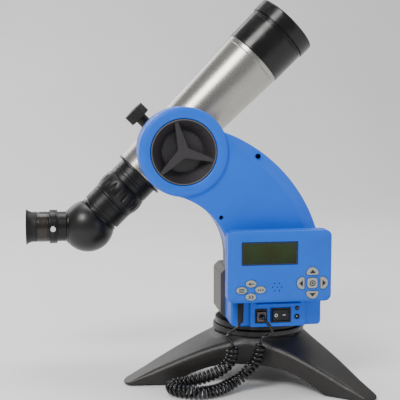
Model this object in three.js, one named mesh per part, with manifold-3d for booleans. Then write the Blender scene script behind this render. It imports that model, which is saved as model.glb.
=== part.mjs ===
// A small motorised refractor telescope on a three-legged stand.
// Millimetres, +Z up. The azimuth axis is the line the whole arm turns about, and the tripod stands on z = 0.

import * as THREE from 'three';
import { mergeVertices } from 'three/addons/utils/BufferGeometryUtils.js';
import Module from 'manifold-3d';

const wasm = await Module();
wasm.setup();

// ---------------------------------------------------------------- driving sizes

const GAP = 0.3; // between parts that touch
const RUNNING = 0.4; // round a shaft or a sliding part
const WALL = 2.5; // moulded covers

const TRIPOD = {
  reach: 161, // azimuth axis to the tip of a leg
  firstLeg: 189, // direction of the first leg, in degrees from +X
  legs: 3,
  tipHalf: 10, // half the width of a leg at its tip
  rootHalf: 48, // and at the azimuth axis
  hubTop: 51.5, // height of the legs where they meet the neck
  tipTop: 2.8, // and at their tips
  skirtHigh: 25, // height of the arch between two legs
  skirtReach: 113, // where the arch comes down to the floor
  hollowReach: 128, // the legs are solid past here
  lift: 1.5, // the shell stands this high, on its pads
  neck: 51, // radius under the collar
  collar: 53,
  collarHigh: 6,
  top: 61.5,
  plate: 3,
};

const PAD = { radius: 7, high: 3, at: 145 };
const POST = { radius: 6, flange: 14, flangeHigh: 3, nut: 9, nutHigh: 5 };
const TURNTABLE = { radius: 50.5, bottom: 62, high: 6.5, floor: 2.5 };

const HUB = { x: -93.5, z: 263.4, radius: 49, front: -54 }; // the altitude axis runs along Y
const ARM = {
  left: -41.8,
  right: 60,
  bottom: 69,
  front: -50,
  part: -15, // front and rear covers meet here
  back: 11,
  innerBend: 77, // radius of the concave edge
  outerBend: 171.8, // radius of the convex edge
  outerX: -13.5, // its centre, from the altitude axis
  outerZ: -140.4,
  rearInset: 1,
};
const BLOCK = { front: -56, top: 165 }; // the lower front, behind the handset
const BOX = { left: -47, top: 128, back: 40, chamfer: 6 };
const DOOR = { left: -35, right: 46, bottom: 78, top: 118, thick: 2.5 };

const RECESS = { clear: 0.5, back: -30 }; // round pocket for the altitude knob, and its clearance
const KNOB = { radius: 36, front: -52.5, back: -31.9, floor: -38, dish: 23, rim: 1.5 };
const GRIP = {
  front: -51.5, boss: 6.6, inner: 5.7, outer: 1.9, reach: KNOB.radius - 1.4, turn: 104,
};
const SHAFT = { radius: 8, stud: 4, studEnd: -43 };

const GEAR = { module: 1.8, altitude: 40, azimuth: 30, pinion: 10, wide: 5, bore: 1.9 };
const ALTITUDE_DRIVE = { direction: -35, front: -24 };
const AZIMUTH_DRIVE = { direction: -35, bottom: 72.2 };
const MOTOR = { radius: 10.5, long: 24, shaft: 1.5 };

const PANEL = { left: -21, right: 41.4, top: 97, thick: 3 };
const LEDGE = { left: -15, right: 35, front: -68, thick: 2.4 }; // a shelf over the panel's sockets
const SOCKET = { x: -8.7, z: 81.3, wide: 13.2, high: 16, deep: 11, wall: 2 };
const PLUG = { wide: 9.4, high: 10.5, front: -63 };
const SWITCH = { x: 13.4, z: 81.8, wide: 22.8, high: 16.3, deep: 11, rim: 1.6, proud: 0.8, well: 7 };
const ROCKER = { wide: 18.6, high: 12.4, raised: 2.2, valley: 0.2, sunk: 0.6, back: 3.6, taper: 2.4 };
const JACK = { x: 32, z: 79.6, radius: 2.9, bore: 1.2, bored: 6, deep: 9 };
const LAMP = { z: 89.3, radius: 2.4 };
const ARM_SCREWS = [[-11.5, 258.2], [-52.1, 190.9]];
const ARM_SCREW_HOLE = 2.4;

const HANDSET = {
  left: -49.7,
  right: 64.9,
  bottom: 101,
  top: 179.5,
  front: -82,
  part: -71, // its two halves meet here
  back: -60,
  wall: 2.2,
  corner: 7,
};
const DOCK = { left: -20, right: 36, bottom: 112, top: 160 };
const SCREEN = { left: -34.7, right: 26.6, bottom: 142.8, top: 167.6, thick: 1.6, recess: 0.7 };
const PAD_KEYS = { x: 43.1, z: 121.8, flat: 8.9, deep: 8.5, wide: 13.6, centre: 11.6 };
const OVAL = { halfWide: 5.9, halfHigh: 3.95 };
const OVAL_KEYS = { back: [-24.8, 122.6], menu: [-35.1, 115.5], help: [-14.4, 115.8], speed: [-25, 108.3] };
const KEY = { proud: 1.4, clear: 0.35, travel: 1, flange: 1 };
const BOARD = { thick: 1.6, left: -32, right: 14, bottom: 132, top: 172, y: -25, inset: 5 };
const CHIPS = [[-24, -8, 140, 156], [0, 8, 138, 150]]; // left, right, bottom and top
const CHIP_HIGH = 3;
const CELL = { radius: 7.1, long: 50, pitch: 14, left: -19, bottom: 86, front: -7 };

const SADDLE = { radius: 40, front: 11.6, disc: 5, back: 31, half: 22, low: -24, high: 34 };
const DOVETAIL = { front: 22, back: 30.4, wide: 18, narrow: 14, neck: 12, from: -38, to: 34 };
const LOCK = { y: 25, s: -4, headLow: 54, headHigh: 66, head: 12.7, neck: 6.6, shank: 3 };

const ELEVATION = 45; // the tube's angle above the horizontal at rest
const TUBE = { y: 70, rise: 4.3, rear: -50.4, front: 144, rearRadius: 30.4, frontRadius: 37.5, wall: 1.5 };
const SHIELD = { radius: 38.2, front: 200.5, frontRadius: 38.6, wall: 2.2, spigot: 12, floor: 4 };
const LENS = { radius: 31.2, behind: 6, half: 3.6 }; // behind the front of the tube
const CAP = { over: 13.7, proud: 3.2, radius: 40.2, thick: 2.4, edge: 2.5 }; // over the front of the shield
const FLANGE = { radius: 31.7, thick: 2.6 };
const FOCUSER = { radius: 26.7, back: -71.4, sleeve: 24.5, bore: 22.7, sleeveEnd: -96.4 };
const FOCUS_RING = { front: -71.9, back: -96.6, radius: 26.6, bulge: 28.4, flutes: 16, flute: 1 };
const DRAW = { radius: 22.2, wall: 2, front: -58, collar: 26.2, collarFront: -97.1, back: -116.3 };
const BALL = { radius: 31.1, wall: 2.8, bore: 17.8 };
const NECK = { radius: 25.2, back: -121.4, front: -118.6, lip: 1.8, root: 25.432 }; // the ball's round neck
// The ball's centre along the tube: its surface has the neck's root radius at the neck's back.
const BALL_AT = NECK.back - Math.sqrt(BALL.radius ** 2 - NECK.root ** 2);
const PRISM = 20; // the prism's side
const EYE = { bend: 135, neck: 17.8, from: -7.1, band: 20.2, bandFrom: 5.5, bandTo: 14.8, bore: 16.3 };
const EYEPIECE = {
  barrel: 15.875, // half of the standard 1.25 inch
  barrelFrom: -9.1,
  body: 18.1,
  to: 29.2,
  bore: 13,
  sleeve: 16.5,
  sleeveTo: 34.9,
};
const EYE_LENS = { from: 20.9, to: 25.9, bevel: 1.1 };
const CUP = { to: 42.1, radius: 17.9, flare: 21.3, flareFrom: 36.1, lip: 1.4, window: 11, washer: 1.3 };
const HOLDER_SCREW = { at: 10.2, shank: 1.9, head: 3.4, thick: 3 };

const RELIEF = { x: -33.5, y: -66.6, top: 105, bottom: 77, radius: 3.7, tip: 3.1, flange: 4.4, bore: 2.2 };
const CORD = { radius: 1.7, curl: 7.4, sides: 8 };

// The cord's route, from the handset's strain relief to its plug: points chosen by hand.
const HANDSET_LEAD = [
  [-33.5, -66.6, 96], [-33.5, -66.6, 86], [-33.6, -66.7, 78], [-36.2, -67.4, 72.6], [-41, -68.8, 68.6],
  [-46.4, -70.6, 65.8], [-49.4, -71.8, 62.4], [-46.8, -72, 59.2], [-43.4, -72, 56],
];
const CURL = [
  [-43.4, -72, 53.8], [-43.3, -72, 45.5], [-44.4, -72, 38], [-49.2, -71.4, 30.4], [-57.6, -69.5, 23.8],
  [-66.8, -67.6, 18.8], [-77.8, -65.6, 14.8], [-90.4, -63.6, 11.6], [-102.4, -63, 9.2], [-110, -68, 8],
  [-107, -78.4, 7.8], [-97.2, -86.6, 7.8], [-84.8, -91, 7.8], [-71.8, -90.2, 7.8], [-60, -84.6, 8],
  [-48.6, -77, 9.8], [-38.4, -72, 13.4], [-29.8, -70, 18.6], [-23.4, -70, 25.4], [-18, -70.6, 33],
  [-14.4, -71.2, 42], [-11.6, -71.4, 54],
];
const PLUG_LEAD = [
  [-11.2, -71, 56.2], [-10, -71.2, 59.8], [-5.6, -71.6, 61.6], [-0.6, -71.4, 63.2], [1, -71, 67.4],
  [-1.4, -70.8, 72.4], [-4.8, -70.2, 77.4], [-7.8, -68.2, 81.2], [-8.7, -65.6, 82.2], [-8.7, -63.4, 82.2],
];

// ---------------------------------------------------------------- solids

const rad = THREE.MathUtils.degToRad;

function volume(geometry) {
  const p = geometry.attributes.position;
  const index = geometry.index.array;
  const [a, b, c] = [new THREE.Vector3(), new THREE.Vector3(), new THREE.Vector3()];
  let sum = 0;
  for (let i = 0; i < index.length; i += 3) {
    a.fromBufferAttribute(p, index[i]);
    b.fromBufferAttribute(p, index[i + 1]);
    c.fromBufferAttribute(p, index[i + 2]);
    sum += a.dot(b.cross(c)) / 6;
  }
  return sum;
}

/** The same surface with shared vertices, no empty triangles and its faces pointing out. */
function closed(geometry) {
  const bare = geometry.clone();
  bare.deleteAttribute('normal');
  bare.deleteAttribute('uv');
  const merged = mergeVertices(bare, 1e-3);
  const source = merged.index.array;
  const kept = [];
  for (let i = 0; i < source.length; i += 3) {
    const [a, b, c] = [source[i], source[i + 1], source[i + 2]];
    if (a !== b && b !== c && c !== a) kept.push(a, b, c);
  }
  merged.setIndex(kept);
  if (volume(merged) < 0) merged.setIndex(kept.reverse());
  return merged;
}

function solid(geometry) {
  const shape = closed(geometry);
  const vertProperties = Float32Array.from(shape.attributes.position.array);
  const triVerts = Uint32Array.from(shape.index.array);
  return new wasm.Manifold(new wasm.Mesh({ numProp: 3, vertProperties, triVerts }));
}

function geometryOf(manifold) {
  const mesh = manifold.getMesh();
  const geometry = new THREE.BufferGeometry();
  geometry.setAttribute('position', new THREE.BufferAttribute(mesh.vertProperties, 3));
  geometry.setIndex(new THREE.BufferAttribute(mesh.triVerts, 1));
  return geometry;
}

const join = (...geometries) => geometryOf(geometries.map(solid).reduce((a, b) => a.add(b)));
const cut = (body, ...tools) => geometryOf(tools.map(solid).reduce((a, b) => a.subtract(b), solid(body)));
const common = (a, b) => geometryOf(solid(a).intersect(solid(b)));

// ---------------------------------------------------------------- shapes

function polygon(points) {
  return new THREE.Shape(points.map(([x, y]) => new THREE.Vector2(x, y)));
}

function oval(x, y, halfWide, halfHigh) {
  const shape = new THREE.Shape();
  shape.absellipse(x, y, halfWide, halfHigh, 0, 2 * Math.PI, false, 0);
  return shape;
}

function rounded(left, bottom, right, top, corner) {
  const shape = new THREE.Shape();
  shape.absarc(right - corner, bottom + corner, corner, -Math.PI / 2, 0, false);
  shape.absarc(right - corner, top - corner, corner, 0, Math.PI / 2, false);
  shape.absarc(left + corner, top - corner, corner, Math.PI / 2, Math.PI, false);
  shape.absarc(left + corner, bottom + corner, corner, Math.PI, 1.5 * Math.PI, false);
  return shape;
}

/** An outline in the plan, standing from one height to another. */
function upright(shape, z0, z1, curveSegments = 12) {
  const geometry = new THREE.ExtrudeGeometry(shape, { depth: z1 - z0, bevelEnabled: false, curveSegments });
  return geometry.translate(0, 0, z0);
}

/** An outline seen from the front, in X and Z, running from one Y to another. */
function faced(shape, y0, y1, curveSegments = 12) {
  const geometry = new THREE.ExtrudeGeometry(shape, { depth: y1 - y0, bevelEnabled: false, curveSegments });
  return geometry.rotateX(Math.PI / 2).translate(0, y1, 0);
}

function block(x0, x1, y0, y1, z0, z1) {
  const geometry = new THREE.BoxGeometry(x1 - x0, y1 - y0, z1 - z0);
  return geometry.translate((x0 + x1) / 2, (y0 + y1) / 2, (z0 + z1) / 2);
}

/** A profile of [radius, height] points turned about Z. */
function turnedZ(points, segments = 32) {
  const profile = points.map(([r, z]) => new THREE.Vector2(r, z));
  return new THREE.LatheGeometry(profile, segments).rotateX(Math.PI / 2);
}

/** A profile of [distance, radius] points turned about X. */
function turnedX(points, segments = 32) {
  const profile = points.map(([s, r]) => new THREE.Vector2(r, s));
  return new THREE.LatheGeometry(profile, segments).rotateZ(-Math.PI / 2);
}

/** A profile of [radius, y] points turned about a line along Y. */
function turnedY(points, x, z, segments = 32) {
  const profile = points.map(([r, y]) => new THREE.Vector2(r, y));
  return new THREE.LatheGeometry(profile, segments).translate(x, 0, z);
}

const rod = (r, y0, y1, x, z, segments = 20) =>
  turnedY([[0, y0], [r, y0], [r, y1], [0, y1]], x, z, segments);

/** A round bar about Z at a place in the plan. */
const bar = (r, z0, z1, x = 0, y = 0, segments = 16) =>
  turnedZ([[0, z0], [r, z0], [r, z1], [0, z1]], segments).translate(x, y, 0);

/** A ring about X, from an outer profile and a straight bore. */
function ringX(outer, bore, segments = 32) {
  const first = outer[0][0];
  const last = outer[outer.length - 1][0];
  return turnedX([[first, bore], ...outer, [last, bore], [first, bore]], segments);
}

/** A round tube along a smooth curve through points. */
function piped(points, radius, sides, steps) {
  const shape = new THREE.Shape();
  const corners = Array.from({ length: sides }, (_, i) => (2 * Math.PI * i) / sides);
  shape.setFromPoints(corners.map((a) => new THREE.Vector2(radius * Math.cos(a), radius * Math.sin(a))));
  const extrudePath = new THREE.CatmullRomCurve3(points.map((p) => new THREE.Vector3(...p)));
  return new THREE.ExtrudeGeometry(shape, { steps, extrudePath, bevelEnabled: false });
}

/** A spur gear's outline: straight-sided teeth with backlash, a tooth pointing along +X. */
function gearShape(teeth, bore) {
  const pitch = (GEAR.module * teeth) / 2;
  const [tip, root] = [pitch + 0.8 * GEAR.module, pitch - 1.15 * GEAR.module];
  const step = (2 * Math.PI) / teeth;
  const points = [];
  for (let i = 0; i < teeth; i += 1) {
    for (const [share, r] of [[-0.25, root], [-0.11, tip], [0.11, tip], [0.25, root]]) {
      const a = step * (i + share);
      points.push([r * Math.cos(a), r * Math.sin(a)]);
    }
  }
  const shape = polygon(points);
  const hole = new THREE.Path();
  hole.absarc(0, 0, bore, 0, 2 * Math.PI, true);
  shape.holes.push(hole);
  return shape;
}

// ---------------------------------------------------------------- materials and parts

const finishes = {
  darkPlastic: { color: 0x3a3734, roughness: 0.62, metalness: 0 },
  blackPlastic: { color: 0x1c1b1b, roughness: 0.42, metalness: 0 },
  bluePlastic: { color: 0x2f80e0, roughness: 0.38, metalness: 0 },
  greyPlastic: { color: 0x5a5550, roughness: 0.55, metalness: 0 },
  keyGrey: { color: 0xb9bcb4, roughness: 0.55, metalness: 0 },
  screenGreen: { color: 0x4f5d45, roughness: 0.2, metalness: 0 },
  silver: { color: 0xb9b3aa, roughness: 0.32, metalness: 0.85 },
  steel: { color: 0xc9cbce, roughness: 0.28, metalness: 1 },
  brass: { color: 0xb48a3c, roughness: 0.4, metalness: 1 },
  glass: { color: 0xa9c4d8, roughness: 0.05, metalness: 0 },
  rubber: { color: 0x1d1d1d, roughness: 0.85, metalness: 0 },
  boardGreen: { color: 0x1f5a34, roughness: 0.6, metalness: 0 },
  batteryBlack: { color: 0x26241f, roughness: 0.5, metalness: 0.2 },
  amber: { color: 0x7a5a3c, roughness: 0.3, metalness: 0 },
};

function part(group, name, geometry, finish) {
  const shape = closed(geometry).toNonIndexed();
  shape.computeVertexNormals();
  const mesh = new THREE.Mesh(shape, new THREE.MeshStandardMaterial(finishes[finish]));
  mesh.name = name;
  group.add(mesh);
}

// ---------------------------------------------------------------- tripod

/** Height of a leg's top at a distance from the azimuth axis. */
function legTop(r) {
  const t = (r - TRIPOD.neck) / (TRIPOD.reach - TRIPOD.neck);
  return TRIPOD.hubTop - (TRIPOD.hubTop - TRIPOD.tipTop) * (0.85 * t + 0.15 * t * t);
}

/** Height of the arch that is cut between the legs. */
function skirtHeight(r) {
  const t = (r - TRIPOD.rootHalf) / (TRIPOD.skirtReach - TRIPOD.rootHalf);
  return TRIPOD.skirtHigh - (TRIPOD.skirtHigh - TRIPOD.lift) * t * t;
}

const spaced = (from, to, count) =>
  Array.from({ length: count + 1 }, (_, i) => from + ((to - from) * i) / count);

/** Three tapering legs in the plan, a wall's thickness inside the outline and cut off at a reach. */
function legPlan(inset, reach, z0, z1) {
  const slope = (TRIPOD.rootHalf - TRIPOD.tipHalf) / TRIPOD.reach;
  const half = (r) => TRIPOD.rootHalf - slope * r - inset;
  const nose = reach - 4;
  const outline = [[0, -half(0)], [nose, -half(nose)], [reach, -half(reach) * 0.6]];
  const leg = polygon([...outline, ...outline.map(([x, y]) => [x, -y]).reverse()]);
  const turns = Array.from({ length: TRIPOD.legs }, (_, i) => TRIPOD.firstLeg + (360 / TRIPOD.legs) * i);
  return turns.map((turn) => upright(leg, z0, z1).rotateZ(rad(turn)));
}

/** A tent-like body whose top follows the legs, lowered by a wall. */
function legTent(lower, bottom) {
  const far = TRIPOD.reach + 6;
  const slope = spaced(far, TRIPOD.neck, 5).map((r) => [r, legTop(r) - lower]);
  return turnedZ([[0, bottom], [far, bottom], ...slope, [0, TRIPOD.hubTop - lower]], 48);
}

function padPlaces() {
  return Array.from({ length: TRIPOD.legs }, (_, i) => {
    const turn = rad(TRIPOD.firstLeg + (360 / TRIPOD.legs) * i);
    return [PAD.at * Math.cos(turn), PAD.at * Math.sin(turn)];
  });
}

function tripodShell() {
  const plate = TRIPOD.top - TRIPOD.plate;
  const collar = TRIPOD.top - TRIPOD.collarHigh;
  const legs = common(join(...legPlan(0, TRIPOD.reach, TRIPOD.lift, TRIPOD.top)), legTent(0, TRIPOD.lift));
  const crown = turnedZ([
    [0, TRIPOD.skirtHigh], [TRIPOD.neck, TRIPOD.skirtHigh], [TRIPOD.neck, collar],
    [TRIPOD.collar, collar + 1], [TRIPOD.collar, TRIPOD.top - 1.5], [TRIPOD.collar - 1.5, TRIPOD.top],
    [0, TRIPOD.top],
  ], 48);
  const hollow = common(join(...legPlan(WALL, TRIPOD.hollowReach, 0, TRIPOD.top)), legTent(WALL, 0));
  const bell = bar(TRIPOD.neck - WALL, 0, plate, 0, 0, 48);
  const arch = spaced(TRIPOD.skirtReach, TRIPOD.rootHalf, 5).map((r) => [r, skirtHeight(r)]);
  const gate = turnedZ([[0, 0], [TRIPOD.skirtReach, 0], ...arch, [0, TRIPOD.skirtHigh]], 36);
  const bore = bar(POST.radius + GAP, plate - 1, TRIPOD.top + 1);
  const pockets = padPlaces().map(([x, y]) => bar(PAD.radius + GAP, 0, PAD.high + GAP, x, y));
  return cut(join(legs, crown), hollow, bell, gate, bore, ...pockets);
}

function buildTripod(group) {
  part(group, 'tripod_shell', tripodShell(), 'darkPlastic');
  padPlaces().forEach(([x, y], i) => {
    part(group, `foot_pad_${i + 1}`, bar(PAD.radius, 0, PAD.high, x, y), 'rubber');
  });
  const plate = TRIPOD.top - TRIPOD.plate;
  const gearTop = AZIMUTH_DRIVE.bottom + GEAR.wide;
  const [under, over] = [plate - GAP, gearTop + GAP];
  part(group, 'pivot_post', turnedZ([
    [0, under - POST.flangeHigh], [POST.flange, under - POST.flangeHigh], [POST.flange, under],
    [POST.radius, under], [POST.radius, over], [POST.nut, over], [POST.nut, over + POST.nutHigh],
    [0, over + POST.nutHigh],
  ], 16), 'steel');
  const gear = upright(gearShape(GEAR.azimuth, POST.radius + GAP), AZIMUTH_DRIVE.bottom, gearTop, 6);
  part(group, 'azimuth_gear', gear.rotateZ(rad(AZIMUTH_DRIVE.direction)), 'brass');
}

// ---------------------------------------------------------------- arm

/** The arm seen from the front: a box with a curved neck, reaching into the round hub. */
function armShape(inset, bottom) {
  const bend = { x: ARM.left - ARM.innerBend, r: ARM.innerBend + inset };
  const across = HUB.x - bend.x;
  bend.z = HUB.z - Math.sqrt((ARM.innerBend + HUB.radius) ** 2 - across ** 2);
  const bow = { x: HUB.x + ARM.outerX, z: HUB.z + ARM.outerZ, r: ARM.outerBend - inset };
  const shape = new THREE.Shape();
  shape.moveTo(ARM.left + inset, bottom);
  shape.lineTo(ARM.right - inset, bottom);
  shape.absarc(bow.x, bow.z, bow.r, Math.acos((ARM.right - inset - bow.x) / bow.r), rad(78), false);
  shape.lineTo(HUB.x, HUB.z);
  shape.absarc(bend.x, bend.z, bend.r, Math.atan2(HUB.z - bend.z, across), 0, true);
  return shape;
}

/** The arm with its round hub, between two Y planes. */
function armBody(inset, bottom, y0, y1, hubFront) {
  const hub = rod(HUB.radius - inset, hubFront, y1, HUB.x, HUB.z, 48);
  return join(faced(armShape(inset, bottom), y0, y1, 12), hub);
}

/** A block centred on a place of the control panel, with a clearance round it. */
function panelBlock({ x, z }, wide, high, y0, y1, clear = 0) {
  const [halfWide, halfHigh] = [wide / 2 + clear, high / 2 + clear];
  return block(x - halfWide, x + halfWide, y0, y1, z - halfHigh, z + halfHigh);
}

const panelHoles = (y0, y1, clear) => [
  panelBlock(SOCKET, SOCKET.wide, SOCKET.high, y0, y1, clear),
  panelBlock(SWITCH, SWITCH.wide, SWITCH.high, y0, y1, clear),
  rod(JACK.radius + clear, y0, y1, JACK.x, JACK.z, 16),
  rod(LAMP.radius, y0, y1, JACK.x, LAMP.z, 16),
];

function frontCover() {
  const outer = armBody(0, ARM.bottom, ARM.front, ARM.part, HUB.front);
  const chin = block(ARM.left, ARM.right, BLOCK.front, ARM.part, ARM.bottom, BLOCK.top);
  const dock = block(DOCK.left, DOCK.right, HANDSET.back + GAP, BLOCK.front + 1, DOCK.bottom, DOCK.top);
  const hollow = armBody(WALL, ARM.bottom - 1, ARM.front + WALL, ARM.part + 1, ARM.front + WALL);
  const chest = block(
    ARM.left + WALL, ARM.right - WALL, BLOCK.front + WALL, ARM.part + 1, ARM.bottom - 1, BLOCK.top - WALL,
  );
  const recess = KNOB.radius + RECESS.clear;
  const cup = rod(recess + WALL, ARM.front, RECESS.back + WALL, HUB.x, HUB.z, 36);
  const shell = join(cut(join(outer, chin, dock), hollow, chest), cup);
  const pocket = rod(recess, HUB.front - 1, RECESS.back, HUB.x, HUB.z, 36);
  const bore = rod(SHAFT.radius + RUNNING, RECESS.back - 1, RECESS.back + WALL + 1, HUB.x, HUB.z);
  const screws = ARM_SCREWS.map(([x, z]) =>
    rod(ARM_SCREW_HOLE, ARM.front - 1, ARM.front + WALL + 1, x, z, 12));
  return cut(shell, pocket, bore, ...screws, ...panelHoles(BLOCK.front - 1, BLOCK.front + WALL + 1, GAP));
}

function rearCover() {
  const start = BOX.top + GAP;
  const outer = armBody(ARM.rearInset, start, ARM.part + GAP, ARM.back, ARM.part + GAP);
  const hollow = armBody(
    ARM.rearInset + WALL, start - 1, ARM.part, ARM.back - WALL, ARM.part,
  );
  return cut(outer, hollow, rod(SHAFT.radius + RUNNING, ARM.part, ARM.back + 1, HUB.x, HUB.z));
}

function batteryBox() {
  const c = BOX.chamfer;
  const outline = polygon([
    [BOX.left, ARM.bottom + c], [BOX.left + c, ARM.bottom], [ARM.right, ARM.bottom], [ARM.right, BOX.top],
    [BOX.left + c, BOX.top], [BOX.left, BOX.top - c],
  ]);
  const inside = polygon([
    [BOX.left + WALL, ARM.bottom + c], [BOX.left + c, ARM.bottom - 1], [ARM.right - WALL, ARM.bottom - 1],
    [ARM.right - WALL, BOX.top - WALL], [BOX.left + c, BOX.top - WALL], [BOX.left + WALL, BOX.top - c],
  ]);
  const front = ARM.part + GAP;
  return cut(
    faced(outline, front, BOX.back),
    faced(inside, front - 1, BOX.back - WALL),
    block(DOOR.left, DOOR.right, BOX.back - WALL - 1, BOX.back + 1, DOOR.bottom, DOOR.top),
  );
}

function turntable() {
  const top = TURNTABLE.bottom + TURNTABLE.high;
  const plate = bar(TURNTABLE.radius, TURNTABLE.bottom, top, 0, 0, 48);
  const gap = WALL + RUNNING;
  const floor = block(
    ARM.left + gap, ARM.right - gap, BLOCK.front + gap, BOX.back - gap, top - 1, top + TURNTABLE.floor,
  );
  return cut(join(plate, floor), bar(POST.radius + RUNNING, TURNTABLE.bottom - 1, top + TURNTABLE.floor + 1));
}

/** Six round cells in two rows of three, on a tray between them. */
function batteryPack() {
  const { radius, long, pitch, left, bottom, front } = CELL;
  const cells = [];
  for (const row of [0, 1]) {
    for (const column of [0, 1, 2]) {
      const cell = bar(radius, 0, long, 0, 0, 12).rotateY(Math.PI / 2);
      cells.push(cell.translate(left, front + radius + column * pitch, bottom + radius + row * pitch));
    }
  }
  const [y, z] = [front + radius, bottom + radius];
  const tray = block(left + 1, left + long - 1, y, y + 2 * pitch, z - radius / 2, z + pitch + radius / 2);
  return join(tray, ...cells);
}

function buildCovers(arm) {
  part(arm, 'turntable', turntable(), 'darkPlastic');
  part(arm, 'arm_front_cover', frontCover(), 'bluePlastic');
  part(arm, 'arm_rear_cover', rearCover(), 'greyPlastic');
  part(arm, 'battery_box', batteryBox(), 'greyPlastic');
  part(arm, 'battery_pack', batteryPack(), 'batteryBlack');
  const door = block(
    DOOR.left + GAP, DOOR.right - GAP, BOX.back - DOOR.thick, BOX.back, DOOR.bottom + GAP, DOOR.top - GAP,
  );
  part(arm, 'battery_door', door, 'greyPlastic');
  const board = block(BOARD.left, BOARD.right, BOARD.y, BOARD.y + BOARD.thick, BOARD.bottom, BOARD.top);
  const chips = CHIPS.map(([x0, x1, z0, z1]) => block(x0, x1, BOARD.y - CHIP_HIGH, BOARD.y + 0.5, z0, z1));
  part(arm, 'main_board', join(board, ...chips), 'boardGreen');
}

/** Motor, its pinion and the shaft between them, along an axis through the origin. */
function drive(arm, kind, place) {
  const pinion = upright(gearShape(GEAR.pinion, GEAR.bore), 0, GEAR.wide, 6).rotateZ(Math.PI / GEAR.pinion);
  const body = turnedZ([
    [0, 0], [MOTOR.shaft, 0], [MOTOR.shaft, GEAR.wide + 1], [MOTOR.radius, GEAR.wide + 1],
    [MOTOR.radius, GEAR.wide + 1 + MOTOR.long], [0, GEAR.wide + 1 + MOTOR.long],
  ], 16);
  part(arm, `${kind}_pinion`, place(pinion), 'brass');
  part(arm, `${kind}_motor`, place(body), 'steel');
}

const centres = (teeth) => (GEAR.module * (teeth + GEAR.pinion)) / 2;

function buildDrives(arm) {
  const a = rad(ALTITUDE_DRIVE.direction);
  const reach = centres(GEAR.altitude);
  const altitude = (geometry) => geometry.rotateX(-Math.PI / 2).rotateY(-a)
    .translate(HUB.x + reach * Math.cos(a), ALTITUDE_DRIVE.front, HUB.z + reach * Math.sin(a));
  drive(arm, 'altitude', altitude);
  const b = rad(AZIMUTH_DRIVE.direction);
  const out = centres(GEAR.azimuth);
  const azimuth = (geometry) => geometry.rotateZ(b)
    .translate(out * Math.cos(b), out * Math.sin(b), AZIMUTH_DRIVE.bottom);
  drive(arm, 'azimuth', azimuth);
}

function buildPanel(arm) {
  const front = BLOCK.front - GAP - PANEL.thick;
  const plate = block(PANEL.left, PANEL.right, front, BLOCK.front - GAP, ARM.bottom, PANEL.top);
  const ledge = block(LEDGE.left, LEDGE.right, LEDGE.front, front + 1, PANEL.top - LEDGE.thick, PANEL.top);
  const holes = panelHoles(front - 1, BLOCK.front, GAP);
  part(arm, 'control_panel', cut(join(plate, ledge), ...holes), 'bluePlastic');
  const floor = front + SOCKET.deep - SOCKET.wall;
  const plugHole = panelBlock(SOCKET, PLUG.wide, PLUG.high, front - 1, floor, GAP);
  const socket = panelBlock(SOCKET, SOCKET.wide, SOCKET.high, front, front + SOCKET.deep);
  part(arm, 'handset_socket', cut(socket, plugHole), 'blackPlastic');
  part(arm, 'cord_plug', panelBlock(SOCKET, PLUG.wide, PLUG.high, PLUG.front, floor - GAP), 'amber');
  buildSwitch(arm, front);
  const jack = turnedY([
    [JACK.bore, front], [JACK.radius, front], [JACK.radius, front + JACK.deep], [0, front + JACK.deep],
    [0, front + JACK.bored], [JACK.bore, front + JACK.bored], [JACK.bore, front],
  ], JACK.x, JACK.z, 16);
  part(arm, 'power_jack', jack, 'blackPlastic');
}

/** A see-saw switch: a frame and a rocker whose face is a shallow V. */
function buildSwitch(arm, front) {
  const { x, z, wide, high, deep, rim, proud, well } = SWITCH;
  const body = panelBlock(SWITCH, wide, high, front - proud, front + deep);
  const mouth = panelBlock(SWITCH, wide - 2 * rim, high - 2 * rim, front - proud - 1, front + well);
  part(arm, 'switch_frame', cut(body, mouth), 'blackPlastic');
  const half = ROCKER.wide / 2;
  const [tail, back] = [half - ROCKER.taper, front + ROCKER.back];
  const profile = polygon([
    [-half, front - ROCKER.raised], [0, front + ROCKER.valley], [half, front - ROCKER.sunk],
    [tail, back], [-tail, back],
  ]);
  const rocker = upright(profile, z - ROCKER.high / 2, z + ROCKER.high / 2).translate(x, 0, 0);
  part(arm, 'rocker', rocker, 'blackPlastic');
}

// ---------------------------------------------------------------- handset

/** A half-round key with its flat side towards the pad's centre, pointing along a direction. */
function arrowShape(direction, grow) {
  const half = PAD_KEYS.wide / 2 + grow;
  const [near, far] = [PAD_KEYS.flat - grow, PAD_KEYS.flat + PAD_KEYS.deep + grow];
  const arc = spaced(-Math.PI / 2, Math.PI / 2, 10);
  const bulge = arc.map((a) => [near + 1.5 + (far - near - 1.5) * Math.cos(a), half * Math.sin(a)]);
  const turn = rad(direction);
  const [c, s] = [Math.cos(turn), Math.sin(turn)];
  const points = [[near, -half + 0.8], ...bulge, [near, half - 0.8]];
  return polygon(points.map(([x, y]) => [PAD_KEYS.x + x * c - y * s, PAD_KEYS.z + x * s + y * c]));
}

function enterShape(grow) {
  const half = PAD_KEYS.centre / 2 + grow;
  return rounded(PAD_KEYS.x - half, PAD_KEYS.z - half, PAD_KEYS.x + half, PAD_KEYS.z + half, 3.2);
}

function keyShapes(grow) {
  const keys = {
    key_right: arrowShape(0, grow),
    key_up: arrowShape(90, grow),
    key_left: arrowShape(180, grow),
    key_down: arrowShape(270, grow),
    key_enter: enterShape(grow),
  };
  for (const [name, [x, z]] of Object.entries(OVAL_KEYS)) {
    keys[`key_${name}`] = oval(x, z, OVAL.halfWide + grow, OVAL.halfHigh + grow);
  }
  return keys;
}

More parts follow.
